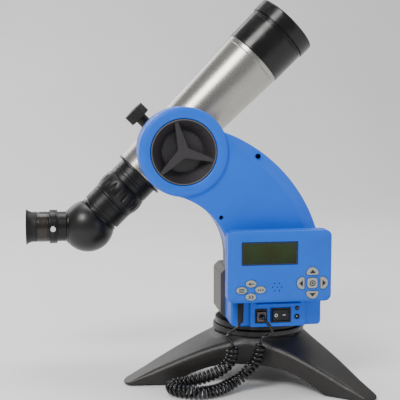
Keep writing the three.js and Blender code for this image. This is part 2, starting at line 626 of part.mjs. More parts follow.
function handsetFront() {
  const { left, right, bottom, top, front, part: seam, wall, corner } = HANDSET;
  const outer = faced(rounded(left, bottom, right, top, corner), front, seam, 4);
  const inside = rounded(left + wall, bottom + wall, right - wall, top - wall, corner - wall);
  const hollow = faced(inside, front + wall, seam + 1, 3);
  const screen = block(
    SCREEN.left - GAP, SCREEN.right + GAP, front - 1, front + wall + 1, SCREEN.bottom - GAP, SCREEN.top + GAP,
  );
  const keys = Object.values(keyShapes(KEY.clear))
    .map((shape) => faced(shape, front - 1, front + wall + 1, 4));
  return cut(outer, hollow, screen, ...keys);
}

function handsetRear() {
  const { left, right, bottom, top, part: seam, back, wall, corner } = HANDSET;
  const outer = faced(rounded(left, bottom, right, top, corner), seam + GAP, back, 4);
  const inside = rounded(left + wall, bottom + wall, right - wall, top - wall, corner - wall);
  const hollow = faced(inside, seam, back - wall, 3);
  return cut(outer, hollow, bar(RELIEF.radius + GAP, bottom - 1, bottom + wall + 1, RELIEF.x, RELIEF.y, 16));
}

function buildHandset(handset) {
  const { left, right, bottom, front, wall } = HANDSET;
  part(handset, 'handset_front', handsetFront(), 'bluePlastic');
  part(handset, 'handset_rear', handsetRear(), 'bluePlastic');
  const glass = front + SCREEN.recess;
  part(handset, 'lcd_window', block(
    SCREEN.left, SCREEN.right, glass, glass + SCREEN.thick, SCREEN.bottom, SCREEN.top,
  ), 'screenGreen');
  const boardFront = front + wall + KEY.flange + KEY.travel + GAP;
  part(handset, 'handset_board', block(
    left + BOARD.inset, right - BOARD.inset, boardFront, boardFront + BOARD.thick,
    bottom + BOARD.inset, HANDSET.top - BOARD.inset,
  ), 'boardGreen');
  for (const [name, shape] of Object.entries(keyShapes(0))) {
    part(handset, name, faced(shape, front - KEY.proud, front + wall + KEY.flange, 4), 'keyGrey');
  }
  const { top, flange, radius, tip, bore } = RELIEF;
  const shelf = bottom + wall + GAP;
  const relief = turnedZ([
    [bore, RELIEF.bottom], [tip, RELIEF.bottom], [radius, bottom + wall], [radius, shelf], [flange, shelf],
    [flange, top], [bore, top], [bore, RELIEF.bottom],
  ], 16);
  part(handset, 'strain_relief', relief.translate(RELIEF.x, RELIEF.y, 0), 'blackPlastic');
}

function buildCord(group) {
  part(group, 'cord_lead_handset', piped(HANDSET_LEAD, CORD.radius, CORD.sides, 14), 'rubber');
  part(group, 'cord_curl', piped(CURL, CORD.curl, CORD.sides, 40), 'rubber');
  part(group, 'cord_lead_plug', piped(PLUG_LEAD, CORD.radius, CORD.sides, 14), 'rubber');
}

// ---------------------------------------------------------------- saddle, shaft and altitude knob

/** A shaft along Y through the hub, with a stud for the knob. */
function buildShaft(group) {
  const back = SADDLE.front - GAP;
  const shoulder = RECESS.back - 1.4;
  part(group, 'altitude_shaft', turnedY([
    [0, SHAFT.studEnd], [SHAFT.stud, SHAFT.studEnd], [SHAFT.stud, shoulder], [SHAFT.radius, shoulder],
    [SHAFT.radius, back], [0, back],
  ], 0, 0, 24), 'steel');
  const teeth = gearShape(GEAR.altitude, SHAFT.radius + GAP);
  const gear = faced(teeth, ALTITUDE_DRIVE.front, ALTITUDE_DRIVE.front + GEAR.wide, 6);
  const turn = ALTITUDE_DRIVE.direction - ELEVATION;
  part(group, 'altitude_gear', gear.rotateY(-rad(turn)), 'brass');
}

/** A dished knob with three blunt finger arms and a round boss. */
function knob() {
  const { radius, front, back, floor, dish, rim } = KNOB;
  const bowl = turnedY([
    [0, back], [radius, back], [radius, front + rim], [radius - rim, front], [dish, floor], [0, floor],
  ], 0, 0, 36);
  const arm = polygon([
    [0, -GRIP.inner], [GRIP.reach, -GRIP.outer], [GRIP.reach, GRIP.outer], [0, GRIP.inner],
  ]);
  const arms = [0, 120, 240].map((turn) =>
    faced(arm, GRIP.front, floor + 1).rotateY(-rad(GRIP.turn + turn - ELEVATION)));
  const boss = rod(GRIP.boss, GRIP.front, floor + 1, 0, 0);
  const socket = rod(SHAFT.stud + RUNNING, SHAFT.studEnd - GAP, back + 1, 0, 0);
  return cut(join(bowl, boss, ...arms), socket);
}

function saddleClamp() {
  const { radius, front, disc: thick, back, half, low, high } = SADDLE;
  const plate = rod(radius, front, front + thick, 0, 0, 36);
  const body = block(-half, half, front + thick - 1, back, low, high);
  const middle = TUBE.rise;
  const slack = RUNNING;
  const slot = polygon([
    [DOVETAIL.front - slack, middle - DOVETAIL.wide - slack], [back + 1, middle - DOVETAIL.narrow - slack],
    [back + 1, middle + DOVETAIL.narrow + slack], [DOVETAIL.front - slack, middle + DOVETAIL.wide + slack],
  ]);
  const channel = alongX(slot, -half - 1, half + 1);
  const bore = bar(LOCK.shank + RUNNING, middle + DOVETAIL.narrow, high + 1, LOCK.s, LOCK.y, 16);
  return cut(join(plate, body), channel, bore);
}

/** An outline in Y and Z, running from one X to another. */
function alongX(shape, x0, x1) {
  const geometry = new THREE.ExtrudeGeometry(shape, { depth: x1 - x0, bevelEnabled: false });
  return geometry.rotateX(Math.PI / 2).rotateZ(Math.PI / 2).translate(x0, 0, 0);
}

function lockScrew() {
  const tip = TUBE.rise + DOVETAIL.wide + RUNNING + 1;
  const neck = SADDLE.high + GAP;
  return turnedZ([
    [0, tip], [LOCK.shank, tip], [LOCK.shank, neck], [LOCK.neck, neck], [LOCK.neck, LOCK.headLow],
    [LOCK.head, LOCK.headLow], [LOCK.head, LOCK.headHigh], [0, LOCK.headHigh],
  ], 20).translate(LOCK.s, LOCK.y, 0);
}

// ---------------------------------------------------------------- optical tube, along X

const tubeRadius = (s) =>
  TUBE.rearRadius + ((TUBE.frontRadius - TUBE.rearRadius) * (s - TUBE.rear)) / (TUBE.front - TUBE.rear);

function dovetailBar() {
  const { front, back, wide, narrow, neck, from, to } = DOVETAIL;
  const y = -TUBE.y;
  const reach = y + TUBE.y - tubeRadius(from) + 4;
  const section = polygon([
    [y + front, -wide], [y + back, -narrow], [y + back, -neck], [reach, -neck],
    [reach, neck], [y + back, neck], [y + back, narrow], [y + front, wide],
  ]);
  const cone = turnedX([
    [from - 5, 0], [from - 5, tubeRadius(from - 5) + GAP], [to + 5, tubeRadius(to + 5) + GAP], [to + 5, 0],
  ]);
  return cut(alongX(section, from, to), cone);
}

function mainTube() {
  const { rear, front, rearRadius, frontRadius, wall } = TUBE;
  return turnedX([
    [rear, rearRadius], [front, frontRadius], [front, frontRadius - wall], [rear, rearRadius - wall],
    [rear, rearRadius],
  ], 48);
}

function dewShield() {
  const back = TUBE.front + GAP;
  const spigot = TUBE.frontRadius - TUBE.wall - 1;
  const bore = LENS.radius + GAP;
  const inner = TUBE.front - SHIELD.spigot;
  const { radius, front, frontRadius, wall, floor } = SHIELD;
  return turnedX([
    [inner, spigot], [back, spigot], [back, radius], [front - CAP.over - 3, frontRadius],
    [front, frontRadius],
    [front, frontRadius - wall], [back + floor, radius - wall], [back + floor, bore], [inner, bore],
    [inner, spigot],
  ]);
}

function objectiveLens() {
  const { radius, behind, half } = LENS;
  const at = TUBE.front - behind;
  const bulge = spaced(0, 1, 3).map((t) => [at - half + 2 * t * t, radius * t]);
  return turnedX([...bulge, ...bulge.map(([s, r]) => [2 * at - s, r]).reverse()], 24);
}

function lensCap() {
  const { over, proud, radius, thick, edge } = CAP;
  const [from, to] = [SHIELD.front - over, SHIELD.front + proud];
  const bore = SHIELD.frontRadius + GAP;
  return turnedX([
    [from, bore], [from, radius], [to - edge, radius], [to - edge * 0.3, radius - edge * 0.3],
    [to, radius - edge], [to, 0], [to - thick, 0], [to - thick, bore], [from, bore],
  ]);
}

function focuserBody() {
  const front = TUBE.rear - GAP;
  return ringX([
    [FOCUSER.sleeveEnd, FOCUSER.sleeve], [FOCUSER.back, FOCUSER.sleeve], [FOCUSER.back, FOCUSER.radius],
    [front - FLANGE.thick, FOCUSER.radius], [front - FLANGE.thick, FLANGE.radius], [front, FLANGE.radius],
  ], FOCUSER.bore);
}

/** The focus ring bulges in the middle, where its grip flutes are cut. */
function focusRing() {
  const { front, back, radius, bulge, flutes, flute } = FOCUS_RING;
  const profile = spaced(0, 1, 6).map((t) => [
    back + (front - back) * t, radius + (bulge - radius) * Math.sin(Math.PI * t) ** 2,
  ]);
  const ring = ringX(profile, FOCUSER.sleeve + RUNNING, 36);
  const middle = (front + back) / 2;
  const grooves = Array.from({ length: flutes }, (_, i) => {
    const groove = new THREE.CylinderGeometry(flute, flute, 15, 4).rotateZ(Math.PI / 2);
    return groove.translate(middle, 0, bulge + 0.2).rotateX((2 * Math.PI * i) / flutes);
  });
  return cut(ring, ...grooves);
}

function drawTube() {
  return ringX([
    [DRAW.back, DRAW.collar], [DRAW.collarFront, DRAW.collar], [DRAW.collarFront, DRAW.radius],
    [DRAW.front, DRAW.radius],
  ], DRAW.radius - DRAW.wall);
}

/** Points of the eyepiece side are measured outwards from the ball's surface. */
function towardsEye(geometry) {
  return geometry.translate(BALL.radius, 0, 0).rotateY(-rad(EYE.bend)).translate(BALL_AT, 0, 0);
}

function diagonalHousing() {
  const { radius, wall, bore } = BALL;
  const s = BALL_AT;
  const spigot = DRAW.radius - DRAW.wall - RUNNING;
  const end = Math.asin((NECK.back - s) / radius);
  const arc = spaced(-Math.PI / 2, end, 9).map((a) => [s + radius * Math.sin(a), radius * Math.cos(a)]);
  const gap = DRAW.back - RUNNING;
  const body = turnedX([
    ...arc.map(([x, r]) => [x, Math.abs(r) < 1e-6 ? 0 : r]), [NECK.back, NECK.radius],
    [NECK.front, NECK.radius],
    [NECK.front, NECK.radius - NECK.lip], [gap, NECK.radius - NECK.lip], [gap, spigot], [gap + 12, spigot],
    [gap + 12, 0],
  ], 28);
  const inner = turnedX(
    spaced(-Math.PI / 2, Math.PI / 2, 8).map((a) => {
      const r = (radius - wall) * Math.cos(a);
      return [s + (radius - wall) * Math.sin(a), Math.abs(r) < 1e-6 ? 0 : r];
    }), 16);
  const mouth = turnedX([[s, 0], [s, bore], [gap + 13, bore], [gap + 13, 0]], 20);
  const eyeBore = towardsEye(turnedX([[-radius, 0], [-radius, EYE.bore], [30, EYE.bore], [30, 0]], 20));
  const flat = towardsEye(block(EYE.from, 30, -radius, radius, -radius, radius));
  return cut(body, inner, mouth, eyeBore, flat);
}

function eyepieceHolder() {
  const start = EYE.from + GAP;
  const ring = ringX([
    [start, EYE.neck], [EYE.bandFrom, EYE.neck], [EYE.bandFrom, EYE.band], [EYE.bandTo, EYE.band],
  ], EYE.bore, 28);
  const hole = rod(HOLDER_SCREW.shank + RUNNING, -EYE.band - 2, -EYE.bore + 2, HOLDER_SCREW.at, 0, 12);
  return cut(ring, hole);
}

function eyepieceBarrel() {
  const { barrel, barrelFrom, body, to, bore, sleeve, sleeveTo } = EYEPIECE;
  const seat = EYE.bandTo + GAP;
  return ringX([
    [barrelFrom, barrel], [seat, barrel], [seat, body], [to, body], [to, sleeve], [sleeveTo, sleeve],
  ], bore, 28);
}

function eyecup() {
  const { to, sleeve, sleeveTo } = EYEPIECE;
  const inner = sleeve + GAP;
  return turnedX([
    [to + GAP, inner], [to + GAP, CUP.radius], [CUP.flareFrom, CUP.radius + 0.4], [CUP.to, CUP.flare],
    [CUP.to, CUP.flare - CUP.lip], [sleeveTo + GAP + CUP.washer, inner - 1],
    [sleeveTo + GAP + CUP.washer, CUP.window], [sleeveTo + GAP, CUP.window], [sleeveTo + GAP, inner],
    [to + GAP, inner],
  ], 28);
}

function eyeLens() {
  const { from, to, bevel } = EYE_LENS;
  const radius = EYEPIECE.bore - GAP;
  return turnedX([[from, 0], [from + bevel, radius], [to - bevel, radius], [to, 0]], 20);
}

function buildEyepiece(group) {
  part(group, 'eyepiece_holder', eyepieceHolder(), 'blackPlastic');
  const { at, shank, head, thick } = HOLDER_SCREW;
  const start = -(EYEPIECE.barrel + 0.6);
  const screw = turnedY([
    [0, start], [shank, start], [shank, -EYE.band - GAP], [head, -EYE.band - GAP],
    [head, -EYE.band - thick + 1], [head - 1.2, -EYE.band - thick], [0, -EYE.band - thick],
  ], at, 0, 16);
  part(group, 'holder_screw', screw, 'steel');
  part(group, 'eyepiece_barrel', eyepieceBarrel(), 'blackPlastic');
  part(group, 'eye_lens', eyeLens(), 'glass');
  part(group, 'eyecup', eyecup(), 'rubber');
}

function buildTube(tube) {
  part(tube, 'dovetail_bar', dovetailBar(), 'blackPlastic');
  part(tube, 'main_tube', mainTube(), 'silver');
  part(tube, 'dew_shield', dewShield(), 'blackPlastic');
  part(tube, 'objective_lens', objectiveLens(), 'glass');
  part(tube, 'lens_cap', lensCap(), 'blackPlastic');
  part(tube, 'focuser_body', focuserBody(), 'blackPlastic');
  part(tube, 'focus_ring', focusRing(), 'blackPlastic');
  part(tube, 'draw_tube', drawTube(), 'blackPlastic');
  part(tube, 'diagonal_housing', diagonalHousing(), 'blackPlastic');
  const half = PRISM / 2;
  const prism = block(-half, half, -half, half, -half, half).rotateY(rad(180 - EYE.bend) / 2);
  part(tube, 'diagonal_prism', prism.translate(BALL_AT, 0, 0), 'glass');
}

// ---------------------------------------------------------------- the whole telescope

const telescope = new THREE.Group();

buildTripod(telescope);
buildCovers(telescope);
buildDrives(telescope);
buildPanel(telescope);
buildHandset(telescope);
buildCord(telescope);

const saddle = new THREE.Group();
saddle.position.set(HUB.x, 0, HUB.z);
saddle.rotation.y = -rad(ELEVATION);
telescope.add(saddle);
part(saddle, 'saddle_clamp', saddleClamp(), 'blackPlastic');
part(saddle, 'lock_screw', lockScrew(), 'blackPlastic');
part(saddle, 'altitude_knob', knob(), 'darkPlastic');
buildShaft(saddle);

const tube = new THREE.Group();
tube.position.set(0, TUBE.y, TUBE.rise);
saddle.add(tube);
buildTube(tube);

const eye = new THREE.Group();
eye.position.set(BALL_AT + BALL.radius * Math.cos(rad(EYE.bend)), 0, BALL.radius * Math.sin(rad(EYE.bend)));
eye.rotation.y = -rad(EYE.bend);
tube.add(eye);
buildEyepiece(eye);

/** The origin is under the middle of the telescope, its cord left out, on the surface it stands on. */
function centred(group) {
  group.updateMatrixWorld(true);
  const box = new THREE.Box3();
  group.traverse((mesh) => {
    if (mesh.isMesh && !mesh.name.startsWith('cord_')) box.expandByObject(mesh, true);
  });
  const middle = box.getCenter(new THREE.Vector3());
  group.position.set(-middle.x, -middle.y, -box.min.z);
  group.updateMatrixWorld(true);
  return group;
}

export default centred(telescope);
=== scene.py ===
import math

import bmesh
import bpy
import numpy as np
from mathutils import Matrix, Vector
from mathutils.geometry import delaunay_2d_cdt


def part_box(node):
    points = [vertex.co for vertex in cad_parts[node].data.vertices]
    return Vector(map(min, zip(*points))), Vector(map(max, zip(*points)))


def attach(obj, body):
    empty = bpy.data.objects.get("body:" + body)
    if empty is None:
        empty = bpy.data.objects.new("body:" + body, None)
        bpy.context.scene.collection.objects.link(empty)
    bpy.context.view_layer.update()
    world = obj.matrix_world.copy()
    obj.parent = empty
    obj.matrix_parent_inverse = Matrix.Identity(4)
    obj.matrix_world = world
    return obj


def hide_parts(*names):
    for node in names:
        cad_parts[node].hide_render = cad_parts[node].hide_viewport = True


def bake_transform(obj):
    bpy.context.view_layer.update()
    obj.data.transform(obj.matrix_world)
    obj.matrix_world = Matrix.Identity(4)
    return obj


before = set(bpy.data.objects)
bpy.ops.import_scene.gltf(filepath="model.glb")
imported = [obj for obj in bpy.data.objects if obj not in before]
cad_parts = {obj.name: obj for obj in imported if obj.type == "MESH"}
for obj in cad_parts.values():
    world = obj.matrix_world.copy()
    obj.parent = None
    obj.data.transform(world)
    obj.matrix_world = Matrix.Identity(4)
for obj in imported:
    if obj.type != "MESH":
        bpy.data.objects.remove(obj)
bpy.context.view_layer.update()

# A small motorised refractor telescope on a three-legged stand. Shapes are worked out in millimetres from
# the azimuth axis at floor level, with X to the right, Y to the back and Z up. They are then moved to the
# frame's own origin.

MM = 0.001
POST_LOW, POST_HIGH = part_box("pivot_post")
AZIMUTH_AXIS = np.array([(POST_LOW.x + POST_HIGH.x) / 2, (POST_LOW.y + POST_HIGH.y) / 2, 0.0])
TAU = 2 * math.pi

HUB_X, HUB_Z, HUB_RADIUS = -93.5, 263.4, 49.0  # the altitude axis
TUBE_Y, TUBE_RISE = 70.0, 4.3  # the tube's line, behind and above the altitude axis
ELEVATION = math.radians(45)
BALL_AT = -139.3  # the diagonal's ball, along the tube
ARM_LEFT, ARM_RIGHT, ARM_BOTTOM = -41.8, 60.0, 69.0
ARM_FRONT, ARM_PART, ARM_BACK = -50.0, -15.0, 11.0
BLOCK_FRONT, BLOCK_TOP = -56.0, 165.0
PANEL_FRONT = -59.3
HANDSET_FRONT, HANDSET_PART, HANDSET_BACK = -82.0, -71.0, -60.0
GAP = 0.3


def placed(points):
    """Millimetres from the azimuth axis turned into metres in the frame."""
    return np.asarray(points, float) * MM + AZIMUTH_AXIS


# ---------------------------------------------------------------- lines and planes to build on


def line_at(origin, axis, across):
    """A line: its origin, its direction and two directions across it, the second at right angles to both."""
    axis, across = np.asarray(axis, float), np.asarray(across, float)
    return np.asarray(origin, float), axis, across, np.cross(axis, across)


ALONG_TUBE = np.array([math.cos(ELEVATION), 0, math.sin(ELEVATION)])
OVER_TUBE = np.array([-math.sin(ELEVATION), 0, math.cos(ELEVATION)])
HUB = np.array([HUB_X, 0, HUB_Z])
TUBE_ORIGIN = HUB + [0, TUBE_Y, 0] + TUBE_RISE * OVER_TUBE
BALL = TUBE_ORIGIN + BALL_AT * ALONG_TUBE

UP_LINE = line_at((0, 0, 0), (0, 0, 1), (1, 0, 0))
HUB_LINE = line_at(HUB, (0, 1, 0), (1, 0, 0))
TUBE_LINE = line_at(TUBE_ORIGIN, ALONG_TUBE, OVER_TUBE)
EYE_LINE = line_at(BALL, (-1, 0, 0), (0, 0, 1))


def upright_line(x, y):
    return line_at((x, y, 0), (0, 0, 1), (1, 0, 0))


def deep_line(x, z):
    return line_at((x, 0, z), (0, 1, 0), (1, 0, 0))


def seen_from_front(u, v, depth):
    """X and Z across, Y into the depth."""
    return np.stack([u, depth, v], axis=-1)


def seen_from_above(u, v, height):
    return np.stack([u, v, height], axis=-1)


def seen_along_tube(u, v, along):
    """Y and the direction over the tube across, and the tube's direction into the depth."""
    deep = along[..., None] * ALONG_TUBE
    return HUB + deep + v[..., None] * OVER_TUBE + u[..., None] * np.array([0, 1, 0])


# ---------------------------------------------------------------- outlines and profiles


def softened(points, radius=0.6, steps=4, ring=False, hold=0.12):
    """Each corner becomes a curve (1-t)^2 a + 2t(1-t) corner + t^2 b, with a and b a radius from the corner.

    A short straight stretch before and after each curve keeps the flats flat when the shading is smooth.
    """
    points = np.asarray(points, float)
    radius = np.broadcast_to(np.asarray(radius, float), (len(points),))
    back = np.roll(points, 1, axis=0) - points
    ahead = np.roll(points, -1, axis=0) - points
    back_long = np.maximum(np.linalg.norm(back, axis=1), 1e-9)
    ahead_long = np.maximum(np.linalg.norm(ahead, axis=1), 1e-9)
    cut = np.minimum(radius, 0.4 * np.minimum(back_long, ahead_long))
    a = points + back / back_long[:, None] * cut[:, None]
    b = points + ahead / ahead_long[:, None] * cut[:, None]
    t = np.linspace(0, 1, steps + 1)[None, :, None]
    curve = (1 - t) ** 2 * a[:, None] + 2 * t * (1 - t) * points[:, None] + t ** 2 * b[:, None]
    lead = np.minimum(hold, 0.08 * np.minimum(back_long, ahead_long))[:, None]
    first = a + back / back_long[:, None] * lead
    last = b + ahead / ahead_long[:, None] * lead
    curve = np.concatenate([first[:, None], curve, last[:, None]], axis=1)
    if ring:
        return curve.reshape(-1, 2)
    return np.concatenate([points[:1], curve[1:-1].reshape(-1, 2), points[-1:]])


def stepped(points, spacing):
    """The same polyline with points at most a spacing apart."""
    parts = []
    for a, b in zip(points[:-1], points[1:]):
        count = max(1, int(math.ceil(np.linalg.norm(b - a) / spacing)))
        parts.append(a + (b - a) * (np.arange(count) / count)[:, None])
    return np.concatenate(parts + [points[-1:]])


def resampled(points, count, closed=True):
    """Points spread evenly by length along a polyline."""
    path = np.concatenate([points, points[:1]]) if closed else np.asarray(points, float)
    run = np.concatenate([[0], np.cumsum(np.linalg.norm(np.diff(path, axis=0), axis=1))])
    at = np.linspace(0, run[-1], count + 1)[:-1] if closed else np.linspace(0, run[-1], count)
    return np.stack([np.interp(at, run, path[:, k]) for k in range(path.shape[1])], axis=1)


def circle(x, z, radius, count=48):
    a = np.arange(count) / count * TAU
    return np.stack([x + radius * np.cos(a), z + radius * np.sin(a)], axis=1)


def ellipse(x, z, half_wide, half_high, count=40):
    a = np.arange(count) / count * TAU
    return np.stack([x + half_wide * np.cos(a), z + half_high * np.sin(a)], axis=1)


def arc(x, z, radius, start, end, count):
    """Points on a circle from one angle to another, in degrees."""
    a = np.radians(np.linspace(start, end, count))
    return np.stack([x + radius * np.cos(a), z + radius * np.sin(a)], axis=1)


def oblong(left, bottom, right, top, corner, steps=8):
    """A rectangle with quarter-circle corners."""
    centres = [(right, bottom, -90), (right, top, 0), (left, top, 90), (left, bottom, 180)]
    parts = []
    for x, z, start in centres:
        cx = x - corner if x == right else x + corner
        cz = z - corner if z == top else z + corner
        parts.append(arc(cx, cz, corner, start, start + 90, steps))
    return np.concatenate(parts)


def hole(loop):
    """An outline turned round, so that the material is outside it."""
    return np.asarray(loop)[::-1]


def turned_by(loop, degrees, x=0.0, z=0.0):
    """An outline turned about the origin and then moved."""
    c, s = math.cos(math.radians(degrees)), math.sin(math.radians(degrees))
    loop = np.asarray(loop, float)
    return np.stack([x + loop[:, 0] * c - loop[:, 1] * s, z + loop[:, 0] * s + loop[:, 1] * c], axis=1)


# ---------------------------------------------------------------- surfaces


def grid_faces(rows, columns, wrap_rows=False, wrap_columns=True):
    """Four-sided faces between the points of a grid numbered row by row."""
    r, c = np.meshgrid(
        np.arange(rows if wrap_rows else rows - 1),
        np.arange(columns if wrap_columns else columns - 1),
        indexing="ij",
    )
    r, c = r.ravel(), c.ravel()
    r2, c2 = (r + 1) % rows, (c + 1) % columns
    return np.stack([r * columns + c, r * columns + c2, r2 * columns + c2, r2 * columns + c], axis=1)


def turned(profile, line, segments=96, ring=False, relief=None):
    """Origin + s*axis + r*(cos a*across + sin a*side), for a profile of distances s and radii r.

    Relief gives what is added to the radius for each distance, radius and angle.
    """
    origin, axis, across, side = line
    s, r = profile[:, 0][:, None], profile[:, 1][:, None]
    a = (np.arange(segments) / segments * TAU)[None, :]
    r = r + (relief(s, r, a) if relief else 0 * a)
    around = np.cos(a)[..., None] * across + np.sin(a)[..., None] * side
    points = origin + s[..., None] * axis + r[..., None] * around
    return points.reshape(-1, 3), grid_faces(len(profile), segments, wrap_rows=ring).tolist()


def inward(loop):
    """For each corner of a loop, the way into the material: the mitred mean of its two edges' normals."""
    ahead = np.roll(loop, -1, axis=0) - loop
    ahead /= np.maximum(np.linalg.norm(ahead, axis=1), 1e-9)[:, None]
    left = np.stack([-ahead[:, 1], ahead[:, 0]], axis=1)
    before = np.roll(left, 1, axis=0)
    return (left + before) / (1 + np.clip((left * before).sum(axis=1), -0.6, 1))[:, None]


def inside(points, loops):
    """Whether a line from each point to the right crosses the loops an odd number of times."""
    crossings = np.zeros(len(points), int)
    for loop in loops:
        a, b = loop, np.roll(loop, -1, axis=0)
        x, y = points[:, 0][:, None], points[:, 1][:, None]
        spans = (a[:, 1] > y) != (b[:, 1] > y)
        rise = np.where(b[:, 1] == a[:, 1], 1, b[:, 1] - a[:, 1])
        at = a[:, 0] + (y - a[:, 1]) * (b[:, 0] - a[:, 0]) / rise
        crossings += (spans & (x < at)).sum(axis=1)
    return crossings % 2 == 1


def filled(loops):
    """Delaunay triangles between an outline and the holes in it, numbered loop after loop."""
    flat = np.concatenate(loops)
    edges, start = [], 0
    for loop in loops:
        edges += [(start + i, start + (i + 1) % len(loop)) for i in range(len(loop))]
        start += len(loop)
    result = delaunay_2d_cdt([Vector(p) for p in flat], edges, [], 0, 1e-6)
    came_from = np.array([source[0] if source else -1 for source in result[3]])
    triangles = came_from[np.array(result[2])]
    triangles = triangles[(triangles >= 0).all(axis=1)]
    return triangles[inside(flat[triangles].mean(axis=1), loops)]


def quarter(edge, steps=5):
    """Insets and depths of a quarter-round edge, from the flat to the side."""
    a = np.linspace(0, math.pi / 2, steps + 1)
    return edge * (1 - np.sin(a)), edge * (1 - np.cos(a))


def plate(loops, front, back, edge=0.8, back_edge=0.3, plane=seen_from_front, hold=0.15):
    """An outline and its holes carried from one depth to another, with quarter-round edges at both ends.

    Each ring is the loop moved inwards by the inset of the edge at that depth; the two ends are filled.
    """
    sign = 1.0 if back > front else -1.0
    inset, depth = quarter(edge)
    back_inset, back_depth = quarter(back_edge, 3)
    insets = np.concatenate([[edge + hold], inset, [0], [0], back_inset[::-1], [back_edge + hold]])
    depths = np.concatenate([
        [front], front + sign * depth, [front + sign * (edge + hold)], [back - sign * (back_edge + hold)],
        back - sign * back_depth[::-1], [back],
    ])
    points, faces, fronts, backs, start = [], [], [], [], 0
    firsts, lasts = [], []
    for loop in loops:
        loop = np.asarray(loop, float)
        rings = loop[None] + inward(loop)[None] * insets[:, None, None]
        deep = np.broadcast_to(depths[:, None], rings.shape[:2])
        points.append(plane(rings[..., 0], rings[..., 1], deep).reshape(-1, 3))
        faces += (grid_faces(len(insets), len(loop)) + start).tolist()
        fronts.append(rings[0])
        backs.append(rings[-1])
        firsts.append(start + np.arange(len(loop)))
        lasts.append(start + (len(insets) - 1) * len(loop) + np.arange(len(loop)))
        start += len(insets) * len(loop)
    faces += np.concatenate(firsts)[filled(fronts)].tolist()
    faces += np.concatenate(lasts)[filled(backs)].tolist()
    return np.concatenate(points), faces


def catmull(points, count):
    """A smooth curve through points: a cubic whose slope at each is half the step between its neighbours."""
    p = np.asarray(points, float)
    p = np.concatenate([2 * p[:1] - p[1:2], p, 2 * p[-1:] - p[-2:-1]])
    at = np.linspace(0, len(p) - 3 - 1e-9, count)
    i = at.astype(int)
    t = (at - i)[:, None]
    a, b, c, d = p[i], p[i + 1], p[i + 2], p[i + 3]
    square, cube = 2 * a - 5 * b + 4 * c - d, 3 * b - a - 3 * c + d
    return 0.5 * (2 * b + (c - a) * t + square * t ** 2 + cube * t ** 3)


def carried_frames(path, start=(1.0, 0.0, 0.0)):
    """Two directions across a path at each of its points, carried along it without twisting."""
    tangent = np.gradient(path, axis=0)
    tangent /= np.linalg.norm(tangent, axis=1)[:, None]
    across = np.zeros_like(path)
    held = np.asarray(start, float)
    for i, t in enumerate(tangent):
        held = held - t * np.dot(held, t)
        held = held / np.linalg.norm(held)
        across[i] = held
    return tangent, across, np.cross(tangent, across)


def piped(path, radius, sides=12):
    """A round section carried along a path, each end closed by triangles about its middle."""
    _, across, side = carried_frames(path)
    a = (np.arange(sides) / sides * TAU)[None, :, None]
    rings = path[:, None] + radius * (np.cos(a) * across[:, None] + np.sin(a) * side[:, None])
    points = np.concatenate([rings.reshape(-1, 3), path[:1], path[-1:]])
    faces = grid_faces(len(path), sides).tolist()
    first, last, count = len(points) - 2, len(points) - 1, (len(path) - 1) * sides
    faces += [(first, (k + 1) % sides, k) for k in range(sides)]
    faces += [(last, count + k, count + (k + 1) % sides) for k in range(sides)]
    return points, faces


# ---------------------------------------------------------------- pieces


def piece(name, surface, body, material, stands_for=()):
    """A mesh in the frame, with its doubles merged and its faces outwards, riding on a body."""
    points, faces = surface
    mesh = bpy.data.meshes.new(name)
    mesh.from_pydata(placed(points).tolist(), [], faces)
    work = bmesh.new()
    work.from_mesh(mesh)
    bmesh.ops.remove_doubles(work, verts=work.verts, dist=2e-6)
    bmesh.ops.dissolve_degenerate(work, edges=work.edges, dist=1e-7)
    bmesh.ops.recalc_face_normals(work, faces=work.faces)
    work.to_mesh(mesh)
    work.free()
    mesh.polygons.foreach_set("use_smooth", np.ones(len(mesh.polygons), bool))
    mesh.materials.append(material)
    obj = bpy.data.objects.new(name, mesh)
    bpy.context.scene.collection.objects.link(obj)
    if body:
        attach(obj, body)
    if stands_for:
        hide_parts(*stands_for)
    return obj


def dressed(node, material):
    """A CAD node that stays, with a better material."""
    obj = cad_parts[node]
    obj.data.materials.clear()
    obj.data.materials.append(material)


# ---------------------------------------------------------------- camera, light and floor

CAMERA_TARGET = (-68.8, 0.0, 205.1)
CAMERA_AZIMUTH, CAMERA_ELEVATION, CAMERA_DISTANCE = -8.0, 6.5, 1100.0
CAMERA_LENS = 86.4


def build_camera():
    a, e = math.radians(CAMERA_AZIMUTH), math.radians(CAMERA_ELEVATION)
    back = np.array([math.sin(a) * math.cos(e), -math.cos(a) * math.cos(e), math.sin(e)])
    camera = bpy.data.objects.new("camera", bpy.data.cameras.new("camera"))
    camera.data.lens = CAMERA_LENS
    camera.data.sensor_width = 36.0
    camera.data.clip_end = 20.0
    camera.location = placed(np.array(CAMERA_TARGET) + CAMERA_DISTANCE * back)
    camera.rotation_euler = Vector(-back).to_track_quat("-Z", "Y").to_euler()
    bpy.context.scene.collection.objects.link(camera)
    bpy.context.scene.camera = camera


def area_light(name, place, aim, size, power, colour=(1.0, 1.0, 1.0)):
    light = bpy.data.lights.new(name, "AREA")
    light.shape = "RECTANGLE"
    light.size, light.size_y = size
    light.energy = power
    light.color = colour
    obj = bpy.data.objects.new(name, light)
    obj.location = Vector(place)
    obj.rotation_euler = (Vector(aim) - Vector(place)).to_track_quat("-Z", "Y").to_euler()
    bpy.context.scene.collection.objects.link(obj)


